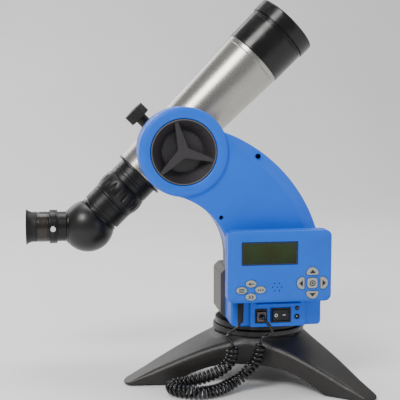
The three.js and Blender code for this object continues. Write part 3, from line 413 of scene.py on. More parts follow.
def build_lights():
    aim = (0.0, 0.0, 0.22)
    area_light("key_light", (-1.1, -1.3, 1.8), aim, (0.9, 0.9), 42.0, (1.0, 0.985, 0.96))
    area_light("fill_light", (1.6, -1.5, 0.9), aim, (1.2, 1.2), 9.0)
    area_light("top_light", (0.1, 0.5, 1.9), aim, (1.4, 1.0), 26.0)
    area_light("back_light", (-1.0, 1.7, 1.2), aim, (1.4, 1.0), 14.0)
    world = bpy.data.worlds.new("studio")
    world.use_nodes = True
    background = world.node_tree.nodes["Background"]
    background.inputs["Color"].default_value = (0.93, 0.94, 0.96, 1.0)
    background.inputs["Strength"].default_value = 0.47
    bpy.context.scene.world = world


def build_floor(material):
    """A flat floor that turns up into a wall far behind: height 0 up to the bend, then a quarter circle."""
    run = np.concatenate([np.linspace(-3000, 1500, 10), 1500 + np.linspace(0, 1, 13)[1:] * 900, [2400]])
    bend = np.clip((run - 1500) / 900, 0, 1)
    height = 900 * (1 - np.sqrt(np.clip(1 - bend ** 2, 0, 1)))
    run[-1], height[-1] = 2400, 3200
    across = np.linspace(-4000, 4000, 9)
    y, x = np.meshgrid(run, across, indexing="ij")
    z = np.broadcast_to(height[:, None], y.shape)
    points = np.stack([x, y, z], axis=-1).reshape(-1, 3)
    faces = grid_faces(len(run), len(across), wrap_columns=False).tolist()
    piece("floor", (points, faces), None, material)


# ---------------------------------------------------------------- materials


def new_material(name):
    material = bpy.data.materials.new(name)
    material.use_nodes = True
    tree = material.node_tree
    return material, tree, tree.nodes["Principled BSDF"]


def add(tree, kind, settings=None, **inputs):
    """A node with its settings, its inputs given as numbers or as sockets to link."""
    made = tree.nodes.new(kind)
    for key, value in (settings or {}).items():
        setattr(made, key, value)
    for key, value in inputs.items():
        socket = made.inputs[key.replace("_", " ")]
        if isinstance(value, bpy.types.NodeSocket):
            tree.links.new(value, socket)
        else:
            socket.default_value = value
    return made


def noise(tree, place, scale, detail=3.0, roughness=0.55):
    made = add(tree, "ShaderNodeTexNoise", Vector=place, Scale=scale, Detail=detail, Roughness=roughness)
    return made.outputs["Fac"]


def spread(tree, value, low, high, start=0.35, end=0.65):
    """A value between two levels turned into a number between two others."""
    made = tree.nodes.new("ShaderNodeMapRange")
    tree.links.new(value, made.inputs[0])
    for index, number in enumerate((start, end, low, high), start=1):
        made.inputs[index].default_value = number
    return made.outputs[0]


def two_tone(tree, value, dark, light, start=0.35, end=0.65):
    ramp = tree.nodes.new("ShaderNodeValToRGB")
    tree.links.new(value, ramp.inputs[0])
    low, high = ramp.color_ramp.elements
    low.position, high.position = start, end
    low.color, high.color = (*dark, 1.0), (*light, 1.0)
    return ramp.outputs["Color"]


def shaded(colour, by):
    return tuple(min(1.0, c * by) for c in colour)


def moulded(name, colour, rough, grain=1400.0, depth=0.12, vary=0.07, coat=0.0, specular=0.5):
    """Moulded plastic: a slow drift of colour, a fine grain in the surface, and an uneven roughness."""
    material, tree, shader = new_material(name)
    place = add(tree, "ShaderNodeTexCoord").outputs["Object"]
    drift = noise(tree, place, 22.0)
    fine = noise(tree, place, grain, 2.0)
    tree.links.new(two_tone(tree, drift, shaded(colour, 1 - vary), shaded(colour, 1 + vary)),
                   shader.inputs["Base Color"])
    tree.links.new(spread(tree, noise(tree, place, 90.0), rough - 0.05, rough + 0.06),
                   shader.inputs["Roughness"])
    bump = add(tree, "ShaderNodeBump", Height=fine, Strength=depth, Distance=0.0004)
    tree.links.new(bump.outputs["Normal"], shader.inputs["Normal"])
    shader.inputs["Specular IOR Level"].default_value = specular
    shader.inputs["Coat Weight"].default_value = coat
    shader.inputs["Coat Roughness"].default_value = 0.12
    return material


def textured(name, colour, rough, pebble=700.0, depth=0.35):
    """Plastic from a spark-eroded mould: small round pebbles, with a finer grain between them."""
    material, tree, shader = new_material(name)
    place = add(tree, "ShaderNodeTexCoord").outputs["Object"]
    cells = add(tree, "ShaderNodeTexVoronoi", {"feature": "SMOOTH_F1"}, Vector=place, Scale=pebble)
    grain = noise(tree, place, pebble * 3, 2.0)
    mix = add(tree, "ShaderNodeMath", {"operation": "MULTIPLY_ADD"})
    tree.links.new(grain, mix.inputs[0])
    mix.inputs[1].default_value = 0.5
    tree.links.new(cells.outputs["Distance"], mix.inputs[2])
    tree.links.new(two_tone(tree, noise(tree, place, 35.0), shaded(colour, 0.9), shaded(colour, 1.12)),
                   shader.inputs["Base Color"])
    tree.links.new(spread(tree, grain, rough - 0.06, rough + 0.08), shader.inputs["Roughness"])
    bump = add(tree, "ShaderNodeBump", Height=mix.outputs[0], Strength=depth, Distance=0.0005)
    tree.links.new(bump.outputs["Normal"], shader.inputs["Normal"])
    return material


def metal(name, colour, rough, along=(1.0, 1.0, 1.0), depth=0.03, vary=0.05, aniso=0.0):
    """Metal with fine marks drawn out along a direction, which also vary its roughness."""
    material, tree, shader = new_material(name)
    place = add(tree, "ShaderNodeTexCoord").outputs["Object"]
    stretch = add(tree, "ShaderNodeMapping", Vector=place, Scale=along).outputs["Vector"]
    marks = noise(tree, stretch, 900.0, 3.0)
    dark, light = shaded(colour, 1 - vary), shaded(colour, 1 + vary)
    tree.links.new(two_tone(tree, noise(tree, place, 30.0), dark, light),
                   shader.inputs["Base Color"])
    tree.links.new(spread(tree, marks, rough - 0.04, rough + 0.05), shader.inputs["Roughness"])
    bump = add(tree, "ShaderNodeBump", Height=marks, Strength=depth, Distance=0.0003)
    tree.links.new(bump.outputs["Normal"], shader.inputs["Normal"])
    shader.inputs["Metallic"].default_value = 1.0
    shader.inputs["Anisotropic"].default_value = aniso
    return material


def clear_glass(name, colour):
    """Polished glass with a faint coating that drifts in colour."""
    material, tree, shader = new_material(name)
    place = add(tree, "ShaderNodeTexCoord").outputs["Object"]
    tree.links.new(two_tone(tree, noise(tree, place, 14.0), shaded(colour, 0.9), colour),
                   shader.inputs["Base Color"])
    tree.links.new(spread(tree, noise(tree, place, 60.0), 0.02, 0.05), shader.inputs["Roughness"])
    shader.inputs["Transmission Weight"].default_value = 0.85
    shader.inputs["IOR"].default_value = 1.5
    return material


def display(name):
    """A reflective display behind its window: olive, with painted light that makes it darker towards the
    bottom and lighter towards the top, and a faint grid of dots.
    """
    material, tree, shader = new_material(name)
    place = add(tree, "ShaderNodeTexCoord").outputs["Object"]
    axes = add(tree, "ShaderNodeSeparateXYZ", Vector=place)
    low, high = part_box("lcd_window")
    # Painted light: the colour runs from darker at the bottom to lighter at the top, standing in for light
    # falling on the display from above.
    painted_top_light = spread(tree, axes.outputs["Z"], 0.0, 1.0, low.z, high.z)
    painted_light_tint = two_tone(tree, painted_top_light, (0.012, 0.021, 0.004), (0.026, 0.044, 0.013), 0.0, 1.0)
    drift = add(tree, "ShaderNodeMix", {"data_type": "RGBA"})
    drift.inputs["Factor"].default_value = 0.35
    tree.links.new(painted_light_tint, drift.inputs[6])
    tree.links.new(two_tone(tree, noise(tree, place, 45.0), (0.022, 0.022, 0.005), (0.022, 0.046, 0.016)),
                   drift.inputs[7])
    tree.links.new(drift.outputs[2], shader.inputs["Base Color"])
    dots = add(tree, "ShaderNodeTexBrick", Vector=place, Scale=700.0)
    bump = add(tree, "ShaderNodeBump", Height=dots.outputs["Fac"], Strength=0.04, Distance=0.0002)
    tree.links.new(bump.outputs["Normal"], shader.inputs["Normal"])
    tree.links.new(spread(tree, noise(tree, place, 60.0), 0.2, 0.28), shader.inputs["Roughness"])
    shader.inputs["Specular IOR Level"].default_value = 0.2
    shader.inputs["Coat Weight"].default_value = 0.0
    shader.inputs["Coat Roughness"].default_value = 0.06
    return material


def circuit(name):
    """Varnished board: green, with paler tracks on a square grid."""
    material, tree, shader = new_material(name)
    place = add(tree, "ShaderNodeTexCoord").outputs["Object"]
    cells = add(tree, "ShaderNodeTexVoronoi", {"feature": "DISTANCE_TO_EDGE"}, Vector=place, Scale=220.0)
    track, board = (0.09, 0.35, 0.16), (0.02, 0.13, 0.05)
    tree.links.new(two_tone(tree, cells.outputs["Distance"], track, board, 0.03, 0.07),
                   shader.inputs["Base Color"])
    tree.links.new(spread(tree, noise(tree, place, 150.0), 0.3, 0.42), shader.inputs["Roughness"])
    bump = add(tree, "ShaderNodeBump", Height=cells.outputs["Distance"], Strength=0.1, Distance=0.0003)
    tree.links.new(bump.outputs["Normal"], shader.inputs["Normal"])
    return material


def painted_floor(name):
    material, tree, shader = new_material(name)
    place = add(tree, "ShaderNodeTexCoord").outputs["Object"]
    tree.links.new(two_tone(tree, noise(tree, place, 2.0), (0.84, 0.84, 0.84), (0.88, 0.88, 0.88)),
                   shader.inputs["Base Color"])
    tree.links.new(spread(tree, noise(tree, place, 30.0), 0.55, 0.65), shader.inputs["Roughness"])
    return material


BLUE = moulded("blue plastic", (0.004, 0.125, 0.72), 0.42, depth=0.06, vary=0.04, coat=0.0, specular=0.3)
BLUE_CASE = moulded("blue handset plastic", (0.004, 0.118, 0.66), 0.45, depth=0.1, vary=0.04, specular=0.3)
GREY_CASE = textured("grey case plastic", (0.075, 0.064, 0.056), 0.5)
STAND = textured("dark stand plastic", (0.0125, 0.0108, 0.0095), 0.42, pebble=600.0, depth=0.28)
KNOB_GREY = textured("dark knob plastic", (0.024, 0.021, 0.024), 0.45, pebble=900.0, depth=0.45)
# Painted highlight: a lighter grey for the knob's rim ring, standing in for the light caught along its edge.
KNOB_RIM_HIGHLIGHT = moulded("knob rim painted highlight", (0.11, 0.1, 0.1), 0.4, depth=0.1)
BLACK = moulded("black satin plastic", (0.0035, 0.0035, 0.004), 0.34, depth=0.08, vary=0.12, specular=0.35)
BALL_BLACK = moulded("black ball plastic", (0.0045, 0.004, 0.0035), 0.36, depth=0.05, vary=0.12,
                     specular=0.45)
BLACK_GLOSS = moulded("black gloss plastic", (0.003, 0.003, 0.0035), 0.22, depth=0.03, vary=0.12,
                      specular=0.4)
BRONZE_BLACK = moulded("bronze black lacquer", (0.013, 0.008, 0.0045), 0.26, depth=0.04, vary=0.15)
MATT_BLACK = textured("matt black plastic", (0.008, 0.007, 0.007), 0.55, pebble=1000.0)
RUBBER = moulded("soft black rubber", (0.006, 0.006, 0.006), 0.5, grain=900.0, depth=0.25, vary=0.15,
                 specular=0.35)
CORD_RUBBER = moulded("cord rubber", (0.003, 0.003, 0.003), 0.2, grain=700.0, depth=0.05, vary=0.15,
                      specular=0.5)
SILVER = metal("silver tube lacquer", (0.37, 0.355, 0.33), 0.27, along=(1.0, 1.0, 1.0), depth=0.02, vary=0.03)
CHROME = metal("bright plating", (0.78, 0.78, 0.8), 0.12)
STEEL = metal("turned steel", (0.5, 0.5, 0.51), 0.3, along=(1.0, 0.2, 1.0))
BRASS = metal("turned brass", (0.62, 0.43, 0.17), 0.32)
NYLON = moulded("natural nylon", (0.62, 0.6, 0.52), 0.45, depth=0.12)
# Painted shade: the cover screws' steel is near-black, standing in for the shade in the holes they sit in.
SCREW_HOLE_SHADE_STEEL = metal("screw steel darkened for painted hole shade", (0.02, 0.02, 0.022), 0.45)
CHROME_BLACK = metal("dark bright ring", (0.03, 0.03, 0.032), 0.24)
KEY_GREY = moulded("grey key plastic", (0.3, 0.31, 0.29), 0.46, grain=1800.0, depth=0.1, vary=0.05)
INK = moulded("black print", (0.002, 0.002, 0.0025), 0.6, grain=2200.0, depth=0.06)
WHITE_INK = moulded("white print", (0.75, 0.75, 0.73), 0.5, grain=2200.0, depth=0.06, vary=0.03)
NAVY = moulded("dark screen surround", (0.006, 0.012, 0.035), 0.25, depth=0.04, vary=0.1)
SCREEN = display("display")
AMBER = moulded("amber plug plastic", (0.16, 0.1, 0.05), 0.22, depth=0.05, vary=0.3, coat=0.4)
GLASS = clear_glass("coated glass", (0.86, 0.93, 0.97))
CELLS = moulded("cell wrap", (0.05, 0.045, 0.04), 0.35, depth=0.04, vary=0.3, coat=0.2)
BOARD = circuit("circuit board")
LAMP_RED = moulded("dark lamp lens", (0.02, 0.006, 0.006), 0.15, depth=0.02, vary=0.2, coat=0.4)
FLOOR = painted_floor("pale floor")


# ---------------------------------------------------------------- cord

CORD_RADIUS = 1.7
COIL_RADIUS = 5.6  # of the helix's own centre line
COIL_PITCH = 5.0
HANDSET_LEAD = [
    (-33.5, -66.6, 96), (-33.5, -66.6, 86), (-33.6, -66.7, 78), (-36.2, -67.4, 72.6), (-41, -68.8, 68.6),
    (-46.4, -70.6, 65.8), (-49.4, -71.8, 62.4), (-46.8, -72, 59.2), (-43.4, -72, 56),
]
CURL = [
    (-43.4, -72, 53.8), (-43.3, -72, 45.5), (-44.4, -72, 38), (-49.2, -71.4, 30.4), (-57.6, -69.5, 23.8),
    (-66.8, -67.6, 18.8), (-77.8, -65.6, 14.8), (-90.4, -63.6, 11.6), (-102.4, -63, 9.2), (-110, -68, 8),
    (-107, -78.4, 7.8), (-97.2, -86.6, 7.8), (-84.8, -91, 7.8), (-71.8, -90.2, 7.8), (-60, -84.6, 8),
    (-48.6, -77, 9.8), (-38.4, -72, 13.4), (-29.8, -70, 18.6), (-23.4, -70, 25.4), (-18, -70.6, 33),
    (-14.4, -71.2, 42), (-11.6, -71.4, 54),
]
PLUG_LEAD = [
    (-11.2, -71, 56.2), (-10, -71.2, 59.8), (-5.6, -71.6, 61.6), (-0.6, -71.4, 63.2), (1, -71, 67.4),
    (-1.4, -70.8, 72.4), (-4.8, -70.2, 77.4), (-7.8, -68.2, 81.2), (-8.7, -65.6, 82.2), (-8.7, -63.4, 82.2),
]


def coiled_path():
    """The curl's helix: the route + radius*(cos a*across + sin a*side), a growing by a turn for each pitch.

    Its radius grows from nothing over the first turn and shrinks to nothing over the last.
    """
    route = resampled(catmull(CURL, 600), 260, closed=False)
    long = np.linalg.norm(np.diff(route, axis=0), axis=1).sum()
    turns = round(long / COIL_PITCH)
    _, across, side = carried_frames(route)
    at = np.linspace(0, 1, turns * 24 + 1)
    run = np.linspace(0, 1, len(route))
    centre, across, side = (
        np.stack([np.interp(at, run, values[:, k]) for k in range(3)], axis=1)
        for values in (route, across, side)
    )
    swell = np.clip(np.minimum(at, 1 - at) * turns / 0.9, 0, 1)
    radius = COIL_RADIUS * (swell * swell * (3 - 2 * swell))[:, None]
    a = (at * turns * TAU)[:, None]
    return centre + radius * (np.cos(a) * across + np.sin(a) * side)


def eased(path, rounds=3):
    """A path with each point moved half way to the middle of its neighbours, its ends held."""
    path = path.copy()
    for _ in range(rounds):
        path[1:-1] = 0.5 * path[1:-1] + 0.25 * (path[:-2] + path[2:])
    return path


def build_cord():
    lead, tail = catmull(HANDSET_LEAD, 60), catmull(PLUG_LEAD, 60)
    path = eased(np.concatenate([lead, coiled_path(), tail]))
    cord = piece("curly_cord", piped(path, CORD_RADIUS, 10), None, CORD_RUBBER)
    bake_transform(cord)
    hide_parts("cord_lead_handset", "cord_curl", "cord_lead_plug")
    return cord, path


# ---------------------------------------------------------------- stand

LEG_TURNS = (189, 309, 69)
LEG_REACH, LEG_TIP_HALF, LEG_ROOT_HALF = 160.5, 10.0, 48.0
LEG_TOP, LEG_TIP_TOP, LEG_LIFT = 51.5, 2.8, 1.5
NECK, COLLAR, COLLAR_TOP = 51.0, 53.0, 61.5
ARCH_HIGH, ARCH_REACH = 25.0, 113.0
STAND_WALL = 2.5
PAD_AT = 145.0


def leg_top(r):
    """Height of the stand's top: a slow curve down to the tips, with a small sweep up into the neck."""
    t = np.clip((r - NECK) / (LEG_REACH - NECK), 0, 1)
    sweep = 3.2 * np.exp(-np.clip(r - NECK, 0, None) / 3.0)
    return LEG_TOP - (LEG_TOP - LEG_TIP_TOP) * (0.85 * t + 0.15 * t * t) + sweep


def arch_height(r):
    """Height of the stand's lower edge: a parabola from the arch down to the floor."""
    t = np.clip((r - LEG_ROOT_HALF) / (ARCH_REACH - LEG_ROOT_HALF), 0, 1)
    return ARCH_HIGH - (ARCH_HIGH - LEG_LIFT) * t * t


def star_outline(count=900):
    """The stand from above: tapering legs with round noses, joined by wide concave curves."""
    slope = (LEG_ROOT_HALF - LEG_TIP_HALF) / LEG_REACH
    nose = LEG_REACH - 3
    half = LEG_ROOT_HALF - slope * nose
    inner = LEG_ROOT_HALF / (math.tan(math.radians(60)) + slope)
    corner = (inner, inner * math.tan(math.radians(60)))
    leg = [(nose, -half), (LEG_REACH, -half * 0.45), (LEG_REACH, half * 0.45), (nose, half), corner]
    loop = np.concatenate([turned_by(leg, turn) for turn in sorted(LEG_TURNS)])
    radii = np.tile([4.0, 4.0, 4.0, 4.0, 50.0], len(LEG_TURNS))
    return resampled(softened(loop, radii, steps=14, ring=True), count)


def stand_surface():
    """Rings round the star outline: the top from the neck outwards, a rounded ridge, the wall and the inside.

    A ring is the outline moved inwards by an inset; its height is the top's height there less a drop.
    """
    outline = star_outline()
    into = inward(outline)
    around = outline / np.linalg.norm(outline, axis=1)[:, None]
    reach = np.linalg.norm(outline, axis=1)
    foot = arch_height(reach)
    ridge = np.minimum(6.0, 0.42 * (leg_top(reach) - foot))
    inner_circle = around * (NECK - 3)

    def ring(inset, height):
        return np.concatenate([outline + into * inset[:, None], height[:, None]], axis=1)

    edge = outline + into * ridge[:, None]
    rings = []
    for t in np.linspace(0, 1, 22):
        plan = inner_circle + (edge - inner_circle) * t
        rings.append(np.column_stack([plan, leg_top(np.linalg.norm(plan, axis=1))]))
    for a in np.linspace(0, math.pi / 2, 9)[1:]:
        inset = ridge * (1 - math.sin(a))
        plan = outline + into * inset[:, None]
        top = leg_top(np.linalg.norm(plan, axis=1))
        rings.append(np.column_stack([plan, top - ridge * (1 - math.cos(a))]))
    side = rings[-1][:, 2]
    for t in (0.03, 0.25, 0.5, 0.75, 0.97):
        rings.append(ring(0 * reach, side + (foot + 0.5 - side) * t))
    lip = np.minimum(0.6, 0.3 * (side - foot))
    rings.append(ring(0.15 * lip, foot + 0.35 * lip))
    rings.append(ring(0.6 * lip, foot))
    wall = np.full_like(reach, STAND_WALL)
    rings.append(ring(wall - 0.4, foot))
    rings.append(ring(wall, foot + 0.3 * lip))
    roof = np.maximum(leg_top(reach) - STAND_WALL - ridge, foot + 0.3)
    rings.append(ring(wall, roof))
    inner_edge = outline + into * (ridge + STAND_WALL * 0.5)[:, None]
    for t in np.linspace(1, 0, 12):
        plan = inner_circle + (inner_edge - inner_circle) * t
        height = leg_top(np.linalg.norm(plan, axis=1)) - STAND_WALL
        rings.append(np.column_stack([plan, np.maximum(height, foot + 0.35)]))
    points = np.concatenate(rings)
    return points, grid_faces(len(rings), len(outline), wrap_rows=True).tolist()


def build_stand():
    piece("stand_shell", stand_surface(), "tripod", STAND, ["tripod_shell"])
    top = COLLAR_TOP
    collar = softened([
        (24, NECK), (54.6, NECK), (55.6, COLLAR), (top, COLLAR),
        (top, 6.4), (58.5, 6.4), (58.5, 48.5), (24, 48.5),
    ], [0.2, 0.8, 0.8, 1.6, 0.3, 0.3, 0.5, 0.2], ring=True)
    piece("stand_collar", turned(collar, UP_LINE, 144, ring=True), "tripod", STAND,
          ["tripod_shell"])
    for number, turn in enumerate(LEG_TURNS, start=1):
        a = math.radians(turn)
        line = upright_line(PAD_AT * math.cos(a), PAD_AT * math.sin(a))
        pad = softened([(0, 0), (0, 5), (0.5, 5.4), (0, 5.8), (0, 7), (3, 7), (3, 4), (8, 4), (8, 0)],
                       [0, 0.2, 0.2, 0.2, 0.6, 0.4, 0.3, 0.3, 0])
        piece(f"rubber_foot_{number}", turned(pad, line, 48), "tripod", RUBBER,
              [f"foot_pad_{number}"])


# ---------------------------------------------------------------- arm

BEND_RADIUS, BOW_RADIUS = 77.0, 171.8
BOW_X, BOW_Z = HUB_X - 13.5, HUB_Z - 140.4
BEND_X = ARM_LEFT - BEND_RADIUS
BEND_Z = HUB_Z - math.sqrt((BEND_RADIUS + HUB_RADIUS) ** 2 - (HUB_X - BEND_X) ** 2)
CREASE = 14.0  # width of the sloping band along the arm's outer edge
RECESS = 36.5
ARM_SCREWS = [(-11.5, 258.2), (-52.1, 190.9)]


def arm_outline(inset=0.0, bottom=ARM_BOTTOM, steps=64):
    """The arm from the front: up the right side, over the bow, round the hub and down the bend.

    The bow and the hub meet where two circles cross. The bend touches the hub on the line of their centres.
    """
    hub, bow, bend = HUB_RADIUS - 0.4 - inset, BOW_RADIUS - inset, BEND_RADIUS + inset
    right = ARM_RIGHT - inset
    start = math.degrees(math.acos((right - BOW_X) / bow))
    dx, dz = HUB_X - BOW_X, HUB_Z - BOW_Z
    apart = math.hypot(dx, dz)
    along = (bow ** 2 - hub ** 2 + apart ** 2) / (2 * apart)
    off = math.sqrt(bow ** 2 - along ** 2)
    meet = np.array([BOW_X + (along * dx + off * dz) / apart, BOW_Z + (along * dz - off * dx) / apart])
    bow_end = math.degrees(math.atan2(meet[1] - BOW_Z, meet[0] - BOW_X))
    hub_start = math.degrees(math.atan2(meet[1] - HUB_Z, meet[0] - HUB_X))
    touch = math.degrees(math.atan2(HUB_Z - BEND_Z, HUB_X - BEND_X))
    return np.concatenate([
        [[right, bottom]],
        arc(BOW_X, BOW_Z, bow, start, bow_end, steps),
        arc(HUB_X, HUB_Z, hub, hub_start, touch + 180, steps * 2)[1:],
        arc(BEND_X, BEND_Z, bend, touch, 0, steps)[1:],
        [[ARM_LEFT + inset, bottom]],
    ])


def front_cover_surface():
    """The arm's cover: its face slopes back over a band along the bow, then turns round to the side."""
    outline = resampled(arm_outline(0, BLOCK_TOP - 40), 520)
    holes = [hole(circle(HUB_X, HUB_Z, RECESS + 4, 96))]
    holes += [hole(circle(x, z, 2.4, 24)) for x, z in ARM_SCREWS]
    reach = np.linalg.norm(outline - [BOW_X, BOW_Z], axis=1)
    on_bow = (np.abs(reach - BOW_RADIUS) < 0.6) & (outline[:, 0] > HUB_X)
    along = np.clip((outline[:, 0] - (HUB_X + 46)) / 30, 0, 1) * on_bow
    band = 3.2 + (CREASE - 3.2) * along * along * (3 - 2 * along)
    drop = 3.6 * (band - 3.2) / (CREASE - 3.2)
    edge = 2.6
    inset, depth = quarter(edge, 6)
    slope = [band + (edge - band) * t for t in (0.05, 0.95)]
    insets = [band + 0.3, band + 0.1] + slope + [k + 0 * band for k in inset] + [0 * band, 0 * band]
    depths = [0 * band, 0 * band, 0.05 * drop, 0.95 * drop] + [drop + k for k in depth]
    depths += [drop + edge + 0.2, 0 * band + ARM_PART - ARM_FRONT]
    into = inward(outline)
    rings = [outline + into * i[:, None] for i in insets]
    points = [seen_from_front(r[:, 0], r[:, 1], ARM_FRONT + d) for r, d in zip(rings, depths)]
    faces = grid_faces(len(rings), len(outline)).tolist()
    start = len(rings) * len(outline)
    fronts, backs = [rings[0]], [rings[-1]]
    first, last = [np.arange(len(outline))], [start - len(outline) + np.arange(len(outline))]
    for loop in holes:
        ways = [(0.5, 0), (0.35, 0), (0.1, 0.1), (0, 0.35), (0, ARM_PART - ARM_FRONT)]
        loops = [loop + inward(loop) * w for w, _ in ways]
        deep = [np.full(len(loop), ARM_FRONT + d) for _, d in ways]
        points += [seen_from_front(r[:, 0], r[:, 1], d) for r, d in zip(loops, deep)]
        faces += (grid_faces(len(ways), len(loop)) + start).tolist()
        fronts.append(loops[0])
        backs.append(loops[-1])
        first.append(start + np.arange(len(loop)))
        last.append(start + (len(ways) - 1) * len(loop) + np.arange(len(loop)))
        start += len(ways) * len(loop)
    faces += np.concatenate(first)[filled(fronts)].tolist()
    faces += np.concatenate(last)[filled(backs)].tolist()
    return np.concatenate(points), faces


def hub_ring_profile():
    """The proud ring round the knob: a slightly domed face, with a round outer edge and a crisp inner one."""
    front = -54.0
    face = [(front + 0.9 * ((r - 42.5) / 4.5) ** 2, r) for r in np.linspace(38.2, 46.0, 7)]
    edge = [(-50.6 - 2.5 * math.sin(a), 46.2 + 2.8 * math.cos(a)) for a in np.radians(np.linspace(0, 60, 7))]
    outer = [(ARM_PART, HUB_RADIUS), (-49.5, HUB_RADIUS)] + edge + face[::-1]
    inner = [(front + 1.1, 37.0), (-51.6, RECESS), (-30.0, RECESS), (-30.0, 8.4), (-27.5, 8.4), (-27.5, 39.0)]
    return stepped(np.array(outer + inner + [(ARM_PART, 39.0)]), 6.0)


def build_arm_covers():
    piece("arm_cover", front_cover_surface(), "arm", BLUE, ["arm_front_cover"])
    piece("hub_ring", turned(hub_ring_profile(), HUB_LINE, 160, ring=True), "arm", BLUE,
          ["arm_front_cover"])
    chin = oblong(ARM_LEFT - 0.2, ARM_BOTTOM, ARM_RIGHT + 0.2, BLOCK_TOP, 4.5, 10)
    piece("arm_chin", plate([chin], BLOCK_FRONT, ARM_PART, 2.4, 0.3), "arm", BLUE,
          ["arm_front_cover"])
    dock = oblong(-20, 112, 36, 160, 5)
    rail = plate([dock], HANDSET_BACK + GAP, BLOCK_FRONT + 2, 1.0)
    piece("handset_dock", rail, "arm", BLUE,
          ["arm_front_cover"])
    # The screw heads' near-black steel is painted shade for the holes in the cover.
    for number, (x, z) in enumerate(ARM_SCREWS, start=1):
        head = softened([(-45, 0), (-45, 0.8), (-45.7, 1.0), (-45.7, 1.9), (-43, 2.1), (-43, 0)],
                        [0, 0.1, 0.1, 0.4, 0.1, 0])
        piece(f"cover_screw_{number}", turned(head, deep_line(x, z), 32), "arm", SCREW_HOLE_SHADE_STEEL)
    back = resampled(arm_outline(1.0, 128.3), 420)
    piece("arm_back", plate([back], ARM_BACK, ARM_PART + GAP, 4.0, 0.3), "arm", GREY_CASE,
          ["arm_rear_cover"])


def build_battery_box():
    outline = softened([
        (-47, 75), (-41, 69), (60, 69), (60, 128), (-41, 128), (-47, 122),
    ], 2.4, ring=True)
    window = hole(oblong(-35, 78, 46, 118, 1.2, 4))
    piece("battery_case", plate([outline, window], 40, ARM_PART + GAP, 1.6, 0.3), "arm", GREY_CASE,
          ["battery_box"])
    door = oblong(-34.7, 78.3, 45.7, 117.7, 1.0, 4)
    piece("battery_lid", plate([door], 40, 37.5, 0.5, 0.2), "battery_door", GREY_CASE,
          ["battery_door"])
    for number in range(5):
        low = 107.0 + 1.8 * number
        rib = oblong(-8, low, 19, low + 0.9, 0.44, 4)
        piece(f"lid_rib_{number + 1}", plate([rib], 40.5, 39.9, 0.25, 0.05), "battery_door", GREY_CASE)


def build_turntable():
    disc = softened([(62, 0), (62, 50.5), (68.5, 50.5), (68.5, 0)], [0, 1.0, 1.0, 0])
    piece("turntable_disc", turned(disc, UP_LINE, 144), "arm", BLACK, ["turntable"])


# ---------------------------------------------------------------- control panel

SOCKET_AT, SWITCH_AT, JACK_AT, LAMP_AT = (-8.7, 81.3), (13.4, 81.8), (32.0, 79.6), (32.0, 89.3)
SOCKET_SIZE, PLUG_SIZE, SWITCH_SIZE, ROCKER_SIZE = (13.2, 16.0), (9.4, 10.5), (22.8, 16.3), (18.6, 12.4)


def box_loop(place, size, grow=0.0, corner=0.6):
    """A rounded rectangle centred on a place of the panel."""
    half_wide, half_high = size[0] / 2 + grow, size[1] / 2 + grow
    x, z = place
    return oblong(x - half_wide, z - half_high, x + half_wide, z + half_high, corner, 4)


def build_panel():
    holes = [
        hole(box_loop(SOCKET_AT, SOCKET_SIZE, 0.1)), hole(box_loop(SWITCH_AT, SWITCH_SIZE, 0.1)),
        hole(circle(*JACK_AT, 3.0, 32)), hole(circle(*LAMP_AT, 2.4, 32)),
    ]
    face = oblong(-21, 69, 41.4, 97, 1.6, 5)
    piece("panel_face", plate([face] + holes, PANEL_FRONT, BLOCK_FRONT - GAP, 0.6, 0.2), "arm", BLUE,
          ["control_panel"])
    ledge = oblong(-15, 94.6, 35, 97, 1.15, 4)
    piece("panel_ledge", plate([ledge], -68, PANEL_FRONT + 0.5, 0.8, 0.1), "arm", BLUE,
          ["control_panel"])
    socket = [box_loop(SOCKET_AT, SOCKET_SIZE), hole(box_loop(SOCKET_AT, PLUG_SIZE, 0.5))]
    piece("socket_body", plate(socket, PANEL_FRONT - 0.2, -48.6, 0.4, 0.2), "arm", MATT_BLACK,
          ["handset_socket"])
    lamp = softened([
        (-60.2, 0), (-59.9, 1.3), (-59.0, 2.25), (-55.5, 2.3), (-55.5, 0),
    ], [0, 0.5, 0.4, 0.2, 0])
    piece("status_lamp", turned(lamp, deep_line(*LAMP_AT), 40), "arm", LAMP_RED)
    jack = softened([
        (PANEL_FRONT - 0.3, 1.7), (PANEL_FRONT - 0.3, 2.7), (-50.5, 2.7),
        (-50.5, 0.9), (-53, 0.9), (-53, 1.7),
    ], 0.25, ring=True)
    piece("jack_body", turned(jack, deep_line(*JACK_AT), 48, ring=True), "arm", BLACK_GLOSS,
          ["power_jack"])
    pin = softened([(-58.4, 0), (-58.4, 0.65), (-52.6, 0.65), (-52.6, 0)], [0, 0.3, 0, 0])
    piece("jack_pin", turned(pin, deep_line(*JACK_AT), 20), "arm", CHROME)
    build_switch()


